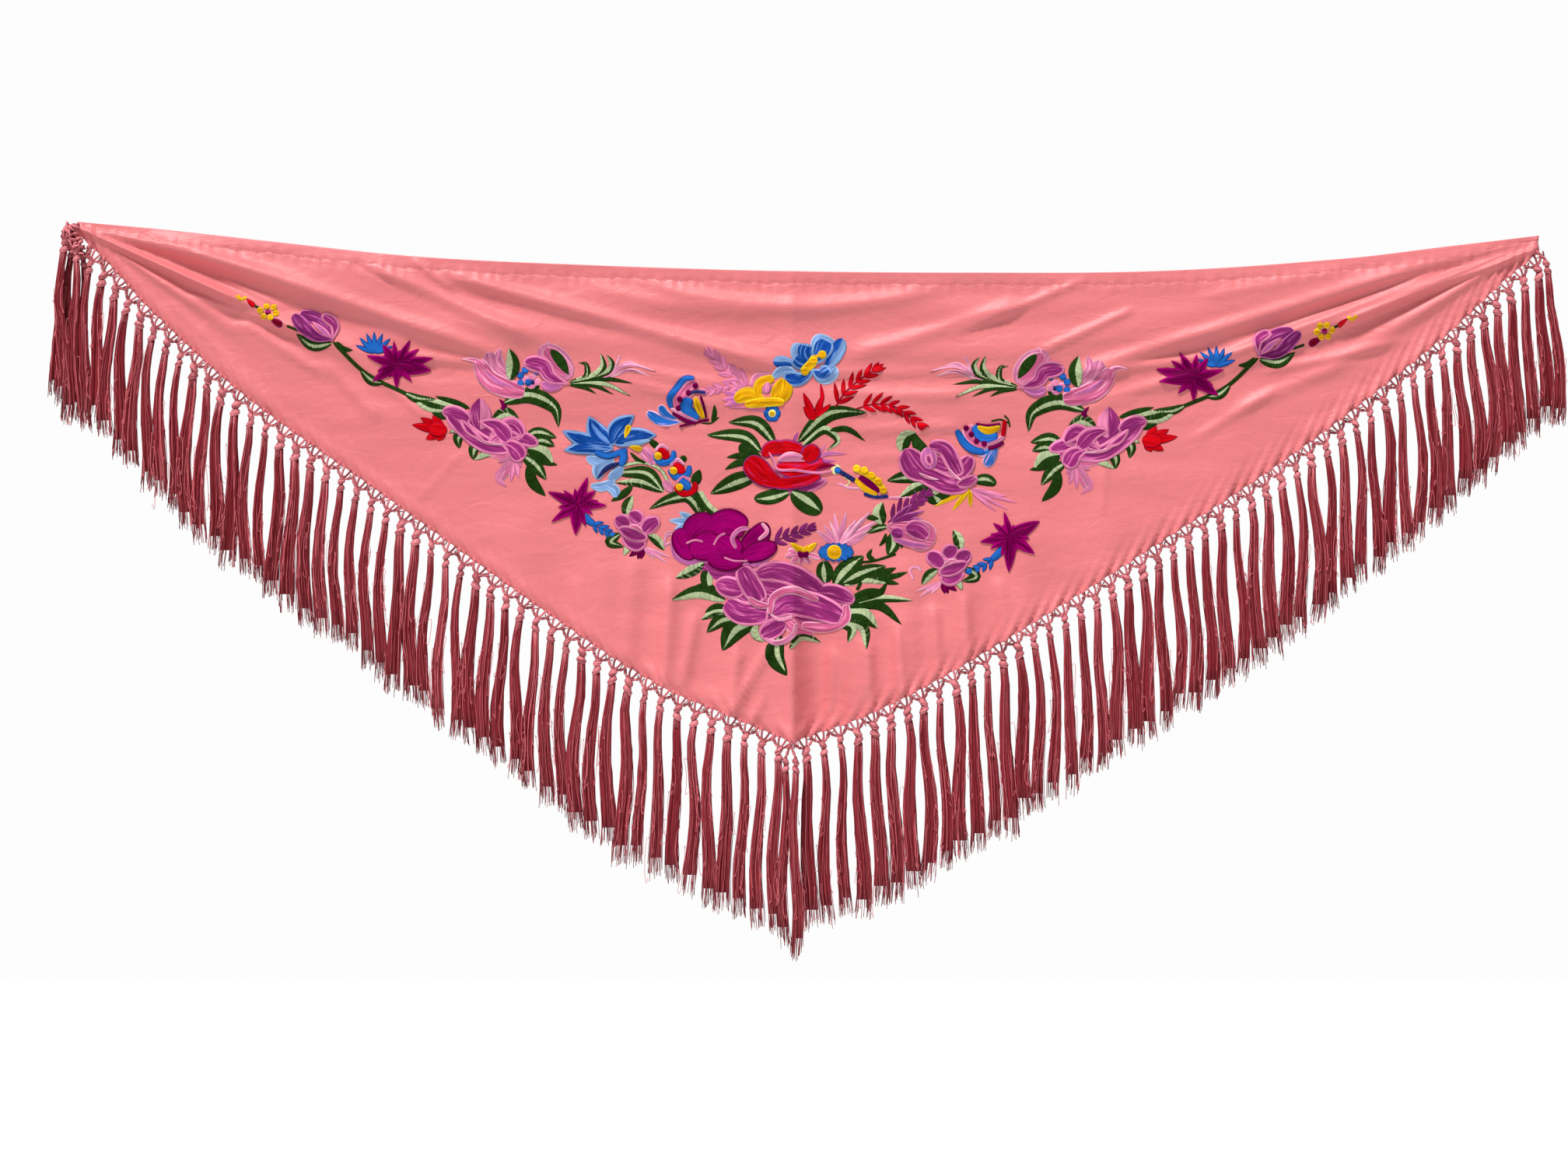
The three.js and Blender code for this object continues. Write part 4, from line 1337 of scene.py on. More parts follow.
def arm_end(stitches):
    """The small buds, the tulip, the aster and the star towards a held corner."""
    stitches.rows([
        ("stem", "yellow", 0, 4, (-642, 70), (-637, 75), (-631, 72)),
        ("petal", "scarlet", 0, 6, (-631, 74), (-621, 84)),
        ("stem", "green", 0, 3, (-622, 82), (-612, 88)),
        ("petal", "dark red", 0, 9, (-604, 97), (-589, 106)),
        ("stem", "green", 0, 3, (-584, 106), (-570, 112)),
        ("leaf", "leaf", 0, 13, (-532, 126), (-555, 128), (-574, 115)),
        ("leaf", "green", 0, 7, (-530, 122), (-536, 112), (-550, 110)),
        ("leaf", "green", 0, 7, (-527, 124), (-520, 132), (-508, 134)),
        ("petal", "deep purple", 1, 15, (-531, 122), (-545, 100), (-570, 90)),
        ("petal", "deep purple", 2, 16, (-530, 122), (-553, 117), (-578, 92)),
        ("petal", "mauve", 2, 14, (-531, 122), (-530, 104), (-545, 92)),
        ("leaf", "lilac", 3, 7, (-533, 120), (-546, 108), (-556, 100)),
        ("stem", "green", 0, 4.5, (-531, 124), (-494, 160), (-449, 183), (-409, 202)),
        ("leaf", "half leaf", 0, 9, (-500, 156), (-487, 170), (-470, 172)),
        ("leaf", "leaf", 0, 10, (-449, 183), (-433, 190), (-411, 191)),
        ("leaf", "far half leaf", 0, 10, (-441, 186), (-420, 200), (-396, 203)),
    ])
    stitches.dots("yellow", 1, 7.5, (-615, 88), (-611, 95), (-603, 96), (-597, 91), (-600, 84), (-608, 83))
    stitches.dots("dark red", 0, 7, (-606, 90))
    aster = (-483, 137)
    stitches.rays("bright blue", 0, 6, aster, [
        (-505, 128), (-501, 119), (-493, 114), (-484, 112), (-474, 114), (-465, 120), (-462, 129),
    ])
    stitches.spiky("star", 1, (-458, 151), [
        (-492, 140), (-480, 158), (-486, 170), (-458, 178), (-440, 170), (-418, 157),
        (-415, 143), (-432, 132), (-442, 122), (-461, 123), (-474, 127),
    ])


def arm_callas(stitches):
    """Two callas, the dotted flower between them and the spray of leaves."""
    stitches.rows([
        ("stem", "green", 0, 3, (-367, 153), (-357, 172), (-338, 181)),
        ("stem", "green", 0, 4, (-318, 186), (-305, 182), (-292, 175)),
        ("petal", "pink", 0, 18, (-325, 172), (-344, 158), (-351, 136)),
        ("leaf", "pink", 0, 13, (-330, 160), (-340, 146), (-337, 131)),
        ("blade", "rose pink", 1, 7, (-354, 154), (-368, 145), (-383, 144)),
        ("band", "rose pink", 1, 23, (-364, 146), (-352, 166), (-335, 176), (-309, 183)),
        ("leaf", "lilac", 2, 7, (-358, 156), (-340, 170), (-318, 178)),
        ("leaf", "half leaf", 2, 16, (-326, 168), (-323, 149), (-327, 132)),
        ("oval", "pink", 0, 33, (-292, 130), (-274, 146), (-256, 167)),
        ("leaf", "pink", 0, 12, (-272, 146), (-283, 134), (-281, 124)),
        ("oval", "rose pink", 1, 24, (-286, 132), (-271, 149), (-259, 163)),
        ("leaf", "green", 2, 12, (-279, 133), (-268, 146), (-258, 162)),
        ("petal", "lilac", 1, 14, (-262, 172), (-276, 176), (-290, 172)),
        ("petal", "mauve", 2, 21, (-258, 173), (-280, 164), (-288, 152), (-311, 147)),
        ("leaf", "leaf", 0, 8, (-258, 171), (-238, 165), (-238, 150), (-247, 148)),
        ("leaf", "half leaf", 0, 11, (-256, 171), (-228, 164), (-218, 152), (-221, 137)),
        ("leaf", "half leaf", 0, 9, (-232, 166), (-212, 159), (-208, 149), (-214, 139)),
        ("leaf", "green", 0, 6, (-256, 171), (-215, 167), (-184, 172)),
        ("leaf", "pale green", 0, 6, (-256, 172), (-216, 173), (-186, 187)),
        ("leaf", "green", 0, 5, (-256, 173), (-228, 175), (-206, 185)),
        ("leaf", "green", 0, 4.5, (-258, 174), (-240, 177), (-226, 184)),
        ("stem", "pink", 0, 3, (-224, 168), (-208, 160), (-198, 139)),
        ("leaf", "pink", 0, 4, (-214, 165), (-188, 151), (-157, 158)),
        ("leaf", "rose pink", 0, 4, (-210, 165), (-186, 157), (-163, 164)),
        ("leaf", "pink", 0, 3.5, (-206, 158), (-190, 148), (-176, 150)),
    ])
    stitches.dots("pink", 0, 9, (-308, 168), (-300, 165), (-295, 171), (-301, 176))
    ring = [(-314, 163), (-314, 172), (-309, 157), (-302, 154), (-295, 158), (-305, 171)]
    stitches.dots("bright blue", 1, 8, *ring)
    stitches.dots("navy", 1, 5, (-300, 171))


def arm_peony(stitches):
    """The spread peony with its leaves, the red bud and the long curved leaf."""
    stitches.rows([
        ("blade", "plum", 0, 7, (-336, 206), (-333, 198), (-339, 190)),
        ("leaf", "leaf", 0, 19, (-334, 195), (-304, 186), (-275, 200), (-270, 223)),
        ("leaf", "green", 0, 8, (-373, 201), (-392, 194), (-413, 187)),
        ("leaf", "far half leaf", 0, 11, (-378, 203), (-402, 198), (-430, 190)),
        ("leaf", "green", 0, 8, (-390, 208), (-405, 210), (-417, 206)),
        ("leaf", "far half leaf", 0, 13, (-347, 214), (-331, 206), (-315, 215)),
        ("band", "mauve", 0, 34, (-396, 212), (-362, 226), (-330, 238), (-302, 242)),
        ("leaf", "pale green", 0, 6, (-380, 224), (-388, 225), (-397, 230)),
        ("leaf", "leaf", 0, 14, (-370, 224), (-386, 234), (-385, 248)),
        ("leaf", "leaf", 0, 13, (-360, 238), (-368, 248), (-369, 261)),
        ("leaf", "pale green", 0, 9, (-340, 250), (-354, 254), (-368, 261)),
        ("leaf", "leaf", 0, 13, (-309, 234), (-294, 229), (-272, 235)),
        ("leaf", "leaf", 0, 13, (-301, 241), (-288, 239), (-274, 245)),
        ("leaf", "half leaf", 0, 18, (-308, 247), (-290, 252), (-276, 266)),
        ("leaf", "green", 0, 9, (-305, 252), (-288, 262), (-271, 267)),
        ("leaf", "leaf", 0, 15, (-312, 256), (-298, 266), (-284, 284)),
        ("leaf", "green", 0, 13, (-305, 266), (-300, 286), (-285, 303)),
        ("oval", "scarlet", 1, 17, (-421, 225), (-399, 227)),
        ("oval", "mauve", 1, 20, (-405, 204), (-391, 207), (-372, 216)),
        ("leaf", "halved petal", 1, 27, (-361, 226), (-361, 207), (-361, 189)),
        ("band", "mauve", 1, 20, (-398, 208), (-374, 230), (-352, 244), (-324, 248)),
        ("petal", "mauve", 1, 24, (-352, 238), (-326, 222), (-312, 236)),
        ("petal", "mauve", 2, 21, (-362, 216), (-342, 222), (-326, 240)),
        ("oval", "mauve", 1, 17, (-330, 236), (-312, 236), (-293, 243)),
        ("leaf", "mauve", 3, 10, (-384, 214), (-372, 228), (-356, 238)),
        ("leaf", "mauve", 2, 13, (-352, 241), (-332, 232), (-311, 234)),
        ("petal", "mauve", 2, 22, (-338, 240), (-323, 246), (-312, 262)),
        ("band", "rose pink", 0, 8, (-362, 244), (-346, 254), (-326, 258)),
        ("leaf", "rose pink", 3, 4, (-378, 224), (-356, 240), (-330, 244)),
    ])
    red_tips = [(-440, 220), (-430, 212), (-416, 209), (-424, 237), (-410, 239)]
    stitches.rays("scarlet", 0, 11, (-404, 227), red_tips)
    pink_tips = [(-340, 278), (-325, 287), (-316, 282), (-313, 270), (-340, 264)]
    stitches.rays("plain pink", 0, 8, (-322, 256), pink_tips)
    stitches.rows([
        ("leaf", "plain pink", 0, 8, (-328, 264), (-340, 282), (-329, 293)),
        ("leaf", "rose pink", 0, 7, (-322, 262), (-330, 276), (-337, 289)),
    ])


def lily(stitches):
    """The blue lily left of the middle."""
    stitches.rows([
        ("oval", "light blue", 0, 15, (-238, 258), (-222, 263), (-205, 258)),
        ("oval", "light blue", 0, 17, (-224, 284), (-222, 270), (-205, 262)),
        ("oval", "light blue", 0, 12, (-233, 291), (-218, 292), (-204, 284)),
        ("oval", "light blue", 0, 13, (-216, 290), (-205, 296), (-202, 306)),
        ("oval", "light blue", 0, 13, (-212, 284), (-202, 276), (-195, 268)),
        ("leaf", "blue", 1, 20, (-208, 244), (-236, 240), (-266, 227)),
        ("leaf", "blue", 1, 19, (-206, 247), (-236, 246), (-264, 250)),
        ("leaf", "blue", 1, 23, (-208, 244), (-226, 228), (-235, 210)),
        ("leaf", "blue", 1, 22, (-210, 244), (-201, 224), (-182, 209)),
        ("leaf", "blue", 1, 21, (-206, 242), (-184, 234), (-156, 232)),
        ("leaf", "light blue", 1, 11, (-196, 242), (-180, 240), (-163, 238)),
        ("band", "bright blue", 2, 8, (-228, 252), (-212, 256), (-190, 249)),
        ("band", "bright blue", 2, 9, (-202, 250), (-194, 256), (-198, 268)),
        ("leaf", "navy", 2, 6, (-198, 264), (-214, 271), (-225, 283)),
        ("petal", "yellow", 2, 7, (-193, 236), (-188, 220)),
        ("petal", "yellow", 2, 7, (-188, 245), (-173, 249)),
    ])


def pansy(stitches, across, down, outer="bright blue", inner="scarlet"):
    """A small pansy: a cup under a pink band, a lip within it and a yellow eye to the left."""
    def at(*places):
        return placed(across, down, places)

    stitches.rows([
        ("band", "pink", 1, 5, *at((-7, -5), (1, -12), (9, -6))),
        ("band", outer, 1, 8, *at((-9, -1), (0, 8), (13, 4), (15, -6))),
        ("oval", inner, 2, 11, *at((-3, -8), (9, 3))),
        ("oval", "yellow", 3, 9, *at((-8, 0), (1, 1))),
    ])
    stitches.dots("cream", 3, 4, *at((-4, 0)))


def pansies(stitches):
    """Three pansies with their leaves, which run down to the large rose."""
    stitches.rows([
        ("leaf", "half leaf", 0, 12, (-148, 297), (-166, 275), (-200, 274)),
        ("leaf", "green", 0, 9, (-150, 297), (-172, 280), (-200, 279)),
        ("leaf", "far half leaf", 0, 10, (-148, 298), (-176, 288), (-205, 287)),
        ("stem", "pale green", 0, 4, (-198, 268), (-172, 264), (-152, 272), (-142, 288)),
        ("leaf", "green", 0, 5, (-187, 252), (-176, 262), (-160, 266)),
        ("leaf", "green", 0, 9, (-184, 291), (-194, 300), (-209, 309)),
        ("leaf", "green", 0, 8, (-165, 238), (-157, 244), (-152, 251)),
        ("petal", "green", 0, 8, (-132, 266), (-122, 257)),
        ("leaf", "green", 0, 12, (-113, 291), (-106, 272)),
        ("band", "pink", 0, 15, (-173, 248), (-166, 256), (-158, 266)),
        ("oval", "lilac", 1, 6, (-169, 250), (-163, 257), (-160, 262)),
        ("oval", "pink", 0, 11, (-148, 284), (-138, 298)),
        ("leaf", "leaf", 0, 15, (-98, 334), (-118, 304), (-140, 306), (-165, 318)),
        ("stem", "green", 0, 8, (-110, 298), (-108, 316), (-98, 334)),
        ("stem", "half leaf", 0, 10, (-108, 298), (-96, 316), (-78, 330)),
    ])
    pansy(stitches, -151, 256)
    pansy(stitches, -133, 273)
    pansy(stitches, -126, 292, "scarlet", "bright blue")


def left_butterfly(stitches):
    stitches.rows([
        ("petal", "tail blue", 0, 13, (-126, 217), (-150, 216), (-168, 205)),
        ("petal", "tail blue", 0, 12, (-130, 214), (-146, 208), (-153, 197)),
        ("band", "rose pink", 1, 19, (-109, 171), (-123, 182), (-133, 202)),
        ("band", "bright blue", 2, 8, (-112, 166), (-123, 167), (-133, 178), (-141, 190), (-139, 201)),
        ("band", "bright blue", 2, 15, (-118, 189), (-122, 202), (-108, 214)),
        ("oval", "yellow", 3, 8, (-111, 188), (-108, 200), (-101, 213)),
        ("stem", "plum", 3, 3, (-105, 187), (-101, 200), (-99, 212)),
        ("stem", "navy", 3, 3.5, (-119, 184), (-110, 182), (-99, 183)),
        ("band", "plum", 2, 5, (-138, 206), (-124, 214), (-110, 219)),
        ("band", "pink", 2, 5, (-140, 201), (-124, 209), (-108, 216)),
        ("stem", "plum", 2, 3, (-130, 222), (-114, 218), (-95, 214)),
        ("stem", "green", 0, 2, (-104, 219), (-93, 218), (-84, 211)),
        ("leaf", "green", 0, 6, (-92, 217), (-89, 208), (-89, 197)),
    ])
    stitches.dots("plum", 3, 6.5, (-111, 175), (-119, 183), (-129, 191), (-131, 201))


def right_butterfly(stitches):
    stitches.rows([
        ("petal", "tail blue", 0, 15, (240, 242), (234, 254), (225, 269)),
        ("petal", "tail blue", 0, 10, (236, 244), (226, 252), (216, 254)),
        ("band", "rose pink", 1, 19, (203, 222), (212, 234), (230, 243)),
        ("band", "bright blue", 2, 9, (192, 226), (200, 240), (210, 249), (224, 252)),
        ("band", "bright blue", 2, 13, (212, 221), (222, 234), (240, 233)),
        ("oval", "yellow", 3, 9, (216, 222), (229, 227), (243, 222)),
        ("stem", "plum", 3, 3, (214, 219), (228, 221), (243, 219)),
        ("band", "plum", 2, 5, (228, 248), (238, 245), (247, 240)),
        ("band", "pink", 2, 5, (228, 243), (238, 239), (248, 233)),
        ("stem", "scarlet", 2, 5, (248, 215), (246, 234)),
        ("stem", "green", 0, 2, (232, 216), (243, 214), (253, 218)),
        ("stem", "green", 0, 2, (247, 209), (252, 214), (254, 223)),
    ])
    stitches.dots("plum", 3, 6.5, (203, 224), (209, 231), (215, 239), (224, 242))


def golden_flower(stitches):
    """The yellow flower with its pink frill, the two pink fronds over it and the forget-me-not below."""
    stitches.frond("plain pink", 0, 6.5, 21, 6, (-44, 176), (-66, 164), (-92, 140))
    stitches.frond("plain pink", 0, 5.5, 15, 6, (-46, 180), (-72, 176), (-99, 182))
    stitches.rays("lilac", 0, 9, (-50, 190), [(-79, 182), (-80, 191), (-78, 198), (-66, 178)])
    stitches.rows([
        ("stem", "lilac", 0, 2.6, (-72, 200), (-50, 201), (-26, 205)),
        ("band", "pink", 0, 8, (-46, 174), (-40, 164), (-24, 162)),
        ("petal", "yellow", 1, 16, (-28, 194), (-48, 184), (-66, 192)),
        ("band", "yellow", 1, 12, (-40, 188), (-36, 172), (-20, 166)),
        ("oval", "pink", 1, 12, (-30, 184), (-27, 170)),
        ("oval", "yellow", 1, 24, (-20, 194), (-10, 180), (-8, 166)),
        ("band", "yellow", 2, 11, (-54, 197), (-30, 194), (-8, 194)),
    ])
    forget_me_not = (-22, 207)
    stitches.rays("bright blue", 0, 9, forget_me_not, tips_round(forget_me_not, 6, 10, 10), "petal")
    stitches.dots("cream", 1, 9, forget_me_not)
    stitches.dots("yellow", 2, 6, forget_me_not)


def iris(stitches):
    """The blue iris and the red sprays beside it."""
    stitches.rows([
        ("petal", "halved blue", 0, 14, (8, 152), (-4, 148), (-21, 147)),
        ("petal", "light blue", 0, 11, (10, 162), (-6, 156), (-22, 165)),
        ("petal", "light blue", 0, 30, (24, 152), (14, 136), (16, 126)),
        ("petal", "light blue", 0, 32, (26, 150), (36, 132), (44, 117)),
        ("petal", "halved blue", 1, 17, (36, 160), (50, 142), (60, 120)),
        ("petal", "light blue", 0, 22, (24, 156), (38, 164), (52, 152)),
        ("petal", "blue", 1, 18, (28, 156), (10, 167), (-10, 165)),
        ("petal", "blue", 1, 20, (26, 152), (12, 148), (2, 142)),
        ("petal", "blue", 1, 25, (24, 152), (17, 138), (19, 126)),
        ("petal", "blue", 2, 25, (26, 151), (34, 136), (42, 120)),
        ("petal", "blue", 2, 19, (24, 156), (34, 162), (46, 155)),
        ("band", "yellow", 2, 11, (12, 159), (22, 151), (30, 141), (40, 137)),
    ])
    stitches.dots("yellow", 3, 10, (16, 158), (26, 146), (36, 139))
    stitches.frond("scarlet", 0, 5.5, 23, 6, (50, 202), (60, 186), (74, 172), (96, 157))
    stitches.frond("scarlet", 0, 5, 20, 8, (74, 202), (98, 196), (122, 200), (149, 220))
    stitches.rays("scarlet", 0, 9, (28, 216), [(14, 183), (14, 199), (36, 186), (46, 196)])
    stitches.rows([
        ("leaf", "scarlet", 0, 5, (30, 204), (36, 190), (34, 171)),
        ("stem", "scarlet", 0, 2, (29, 210), (26, 220), (23, 228)),
    ])


def red_rose(stitches):
    """The red rose in the middle with its long leaves."""
    stitches.rows([
        ("leaf", "leaf", 0, 18, (8, 240), (44, 208), (88, 206)),
        ("leaf", "half leaf", 0, 10, (12, 246), (38, 226), (54, 238), (42, 250)),
        ("leaf", "green", 0, 7, (38, 229), (64, 225), (86, 239)),
        ("leaf", "leaf", 0, 16, (-18, 242), (-40, 218), (-73, 217)),
        ("leaf", "leaf", 0, 15, (-34, 252), (-54, 234), (-99, 232)),
        ("petal", "green", 0, 15, (-34, 258), (-48, 252), (-60, 243)),
        ("leaf", "green", 0, 8, (-40, 260), (-58, 256), (-75, 258)),
        ("leaf", "green", 0, 9, (-40, 262), (-60, 264), (-77, 272)),
        ("leaf", "leaf", 0, 20, (-38, 278), (-64, 286), (-94, 300)),
        ("oval", "leaf", 0, 17, (-2, 298), (-24, 304), (-43, 306)),
        ("oval", "leaf", 0, 26, (0, 298), (16, 308), (35, 322)),
        ("leaf", "lilac", 0, 6, (28, 262), (40, 254), (65, 254)),
        ("leaf", "lilac", 0, 4, (32, 254), (40, 243)),
        ("leaf", "purple", 0, 4, (30, 262), (52, 262)),
        ("leaf", "purple", 0, 4, (2, 242), (8, 228)),
        ("leaf", "dark red", 1, 11, (4, 270), (28, 268), (52, 267)),
        ("band", "mauve", 0, 12, (-18, 292), (6, 297), (24, 292), (42, 284)),
        ("oval", "red", 1, 18, (-33, 257), (-24, 248), (-8, 243)),
        ("band", "red", 1, 18, (-24, 250), (-6, 246), (14, 250)),
        ("oval", "red", 1, 24, (-18, 270), (8, 270), (38, 262)),
        ("oval", "red", 2, 22, (14, 262), (24, 252), (30, 244)),
        ("petal", "red", 2, 29, (-4, 292), (-30, 280), (-52, 259)),
        ("band", "red", 2, 15, (-34, 286), (-4, 288), (20, 284), (34, 278)),
        ("oval", "pink", 3, 9, (-16, 262), (-2, 256), (14, 258)),
        ("band", "lilac", 3, 3.4, (-26, 252), (-20, 262), (-16, 272), (4, 273), (30, 276), (48, 274)),
        ("band", "lilac", 3, 3, (-14, 262), (0, 262), (16, 262)),
    ])


def moth(stitches):
    """The yellow butterfly by the red rose."""
    stitches.rows([
        ("stem", "navy", 1, 5, (56, 274), (66, 280), (74, 285)),
        ("stem", "cream", 0, 2, (60, 279), (68, 287), (62, 292)),
        ("stem", "pink", 0, 3, (55, 288), (66, 293), (86, 294)),
        ("band", "plum", 1, 12, (78, 281), (92, 292), (102, 298)),
        ("band", "yellow", 1, 8, (73, 271), (86, 276), (98, 284), (109, 298)),
        ("band", "yellow", 1, 9, (75, 283), (86, 293), (100, 301)),
        ("stem", "navy", 1, 4, (84, 300), (98, 304), (113, 303)),
        ("stem", "lilac", 0, 2.4, (92, 306), (110, 305), (126, 306)),
        ("stem", "pink", 0, 2, (110, 305), (128, 304), (142, 305)),
    ])
    stitches.dots("yellow", 2, 9, (76, 271), (85, 273), (93, 279), (101, 286), (107, 296))
    stitches.dots("cream", 0, 12, (52, 272))
    stitches.dots("bright blue", 1, 8, (54, 273))


def mauve_rose(stitches):
    """The mauve rose right of the middle, with a yellow and a pink spray below."""
    stitches.rows([
        ("leaf", "half leaf", 0, 17, (128, 252), (132, 236), (145, 229)),
        ("leaf", "green", 0, 14, (160, 252), (148, 244), (142, 229)),
        ("leaf", "leaf", 0, 16, (162, 284), (138, 280), (111, 285)),
        ("leaf", "far half leaf", 0, 12, (162, 286), (146, 292), (125, 305)),
        ("oval", "half leaf", 0, 20, (162, 286), (164, 300), (170, 312)),
        ("petal", "green", 0, 12, (162, 302), (176, 302), (188, 296)),
        ("oval", "leaf", 0, 14, (212, 285), (226, 284), (238, 289)),
        ("oval", "mauve", 0, 34, (150, 254), (166, 270), (190, 276)),
        ("oval", "mauve", 1, 33, (132, 248), (142, 266), (158, 282)),
        ("band", "mauve", 1, 24, (140, 270), (160, 280), (184, 290), (206, 290)),
        ("oval", "lilac", 2, 20, (158, 246), (160, 260), (162, 272)),
        ("oval", "mauve", 3, 10, (158, 254), (162, 268)),
        ("band", "mauve", 2, 20, (160, 244), (178, 248), (188, 264), (196, 280)),
        ("oval", "mauve", 1, 22, (192, 282), (202, 268), (210, 256)),
        ("oval", "mauve", 2, 15, (192, 290), (206, 286), (216, 280)),
        ("leaf", "rose pink", 3, 4, (182, 270), (188, 278), (198, 285)),
        ("leaf", "rose pink", 3, 4, (148, 276), (158, 281), (172, 284)),
    ])
    stitches.rays("yellow", 0, 6, (207, 294), [(166, 315), (187, 320), (180, 306), (192, 304), (208, 316)])
    pink_tips = [(262, 311), (250, 303), (252, 319), (238, 321), (232, 298)]
    stitches.rays("plain pink", 0, 5, (207, 295), pink_tips)


def small_rose(stitches, across, down, flip):
    """A small mauve rose with a plum and a pink spray below. flip is -1 where it is turned round."""
    def at(*places):
        return placed(across, down, places, flip)

    stitches.rows([
        ("leaf", "far half leaf", 0, 13, *at((-12, -16), (-10, -28), (-4, -40))),
        ("leaf", "half leaf", 0, 11, *at((14, 6), (24, 12), (33, 24))),
        ("leaf", "leaf", 0, 12, *at((-18, 4), (-30, 14), (-14, 20))),
        ("leaf", "pale green", 0, 8, *at((-6, 16), (-10, 22), (-14, 30))),
        ("oval", "mauve", 0, 24, *at((-16, -8), (14, 2))),
        ("oval", "mauve", 1, 20, *at((-24, -14), (-6, -3))),
        ("oval", "mauve", 1, 20, *at((-8, -20), (8, -8))),
        ("oval", "mauve", 1, 20, *at((8, 4), (16, -6), (28, -12))),
        ("oval", "mauve", 2, 17, *at((-20, -2), (-2, 6), (14, 10))),
        ("oval", "mauve", 1, 16, *at((-16, 8), (0, 18), (12, 14))),
        ("oval", "rose pink", 3, 6, *at((-8, -4), (0, -3), (8, 3))),
        ("stem", "pink", 0, 3, *at((33, 8), (38, 3), (46, 6), (42, 18))),
    ])
    star = at((8, 20))[0]
    stitches.rays("plum", 0, 7, star, at((-8, 31), (2, 34), (6, 34), (-2, 24)))
    stitches.rays("pink", 0, 4, star, at((36, 38), (30, 30), (22, 34), (40, 32)))


def left_star(stitches):
    stitches.spiky("star", 1, (-248, 312), [
        (-236, 281), (-227, 297), (-224, 308), (-214, 314), (-230, 324), (-238, 338), (-250, 348),
        (-262, 328), (-278, 333), (-270, 316), (-282, 298), (-264, 296), (-251, 294),
    ])
    stitches.rows([
        ("band", "bright blue", 0, 9, (-242, 324), (-235, 331), (-228, 336)),
    ])
    stitches.frond("bright blue", 0, 5, 13, 4, (-232, 334), (-221, 340), (-209, 347))


def right_star(stitches):
    stitches.spiky("star", 1, (254, 350), [
        (247, 321), (258, 336), (270, 338), (288, 332), (276, 352), (282, 370), (262, 366), (252, 391),
        (243, 372), (231, 364), (219, 356), (231, 347), (234, 334),
    ])
    stitches.rows([
        ("band", "bright blue", 0, 9, (246, 362), (240, 370), (232, 377)),
    ])
    stitches.frond("bright blue", 0, 5, 13, 4, (236, 374), (224, 383), (209, 389))


def large_rose(stitches):
    """The magenta rose with the pale blue spray and the purple frond beside it."""
    blue_tips = [(-142, 331), (-130, 321), (-122, 324), (-136, 342), (-124, 344)]
    stitches.rays("light blue", 0, 10, (-110, 334), blue_tips)
    stitches.rows([
        ("leaf", "far half leaf", 0, 13, (-100, 380), (-116, 390), (-134, 398)),
        ("leaf", "half leaf", 0, 15, (-94, 384), (-98, 398), (-94, 414)),
        ("stem", "pink", 0, 3.4, (-138, 356), (-147, 360), (-143, 348), (-134, 348)),
        ("band", "lilac", 0, 10, (-138, 352), (-132, 372), (-112, 380), (-94, 378)),
        ("band", "purple", 0, 16, (-104, 382), (-86, 392), (-64, 390), (-44, 380)),
        ("band", "lilac", 0, 9, (-60, 382), (-36, 380), (-20, 364)),
        ("oval", "magenta", 1, 30, (-134, 342), (-124, 356), (-112, 376)),
        ("oval", "magenta", 1, 38, (-120, 356), (-104, 340), (-86, 338)),
        ("band", "magenta", 1, 34, (-96, 346), (-74, 334), (-52, 342)),
        ("oval", "magenta", 2, 34, (-118, 368), (-96, 360), (-78, 358)),
        ("oval", "magenta", 2, 32, (-98, 376), (-78, 374), (-54, 376)),
        ("oval", "magenta", 1, 26, (-58, 366), (-40, 352), (-28, 334)),
        ("oval", "magenta", 2, 24, (-58, 374), (-40, 368), (-16, 360)),
        ("oval", "magenta", 2, 26, (-88, 352), (-72, 360), (-56, 366)),
        ("band", "lilac", 3, 6, (-64, 364), (-68, 352), (-60, 342), (-48, 340)),
        ("band", "rose pink", 3, 5, (-34, 334), (-28, 344), (-38, 354)),
        ("stem", "lilac", 3, 2.4, (-122, 358), (-112, 354), (-102, 356)),
        ("stem", "lilac", 3, 2.4, (-90, 360), (-84, 350), (-76, 346)),
        ("stem", "lilac", 3, 2.2, (-78, 374), (-66, 378), (-50, 378)),
    ])
    stitches.frond("plain purple", 0, 5.5, 19, 5, (-24, 358), (-6, 350), (20, 341))


def asters(stitches):
    """The pink and yellow daisy and the blue aster with its pink plume."""
    daisy = (14, 368)
    daisy_tips = [(-7, 373), (0, 380), (11, 382), (22, 381), (34, 375), (-4, 366)]
    stitches.rays("rose pink", 0, 7, daisy, daisy_tips, "petal")
    stitches.rays("yellow", 1, 7, (15, 369), [(-1, 357), (8, 360), (20, 360), (30, 357)])
    stitches.rays("plum", 2, 7, (14, 374), [(8, 367), (20, 367)])
    aster = (52, 368)
    stitches.rays("pink", 0, 7, (54, 362), [
        (29, 342), (38, 336), (50, 322), (64, 321), (76, 330), (93, 320), (100, 331), (90, 346), (84, 352),
    ])
    stitches.rays("rose pink", 1, 4, (56, 360), [(44, 330), (70, 334), (86, 326), (94, 340)])
    stitches.rays("bright blue", 2, 7, aster, tips_round(aster, 14, 21, 11), "petal")
    stitches.dots("yellow", 3, 17, (50, 368))
    stitches.dots("cream", 3, 5, (50, 367))


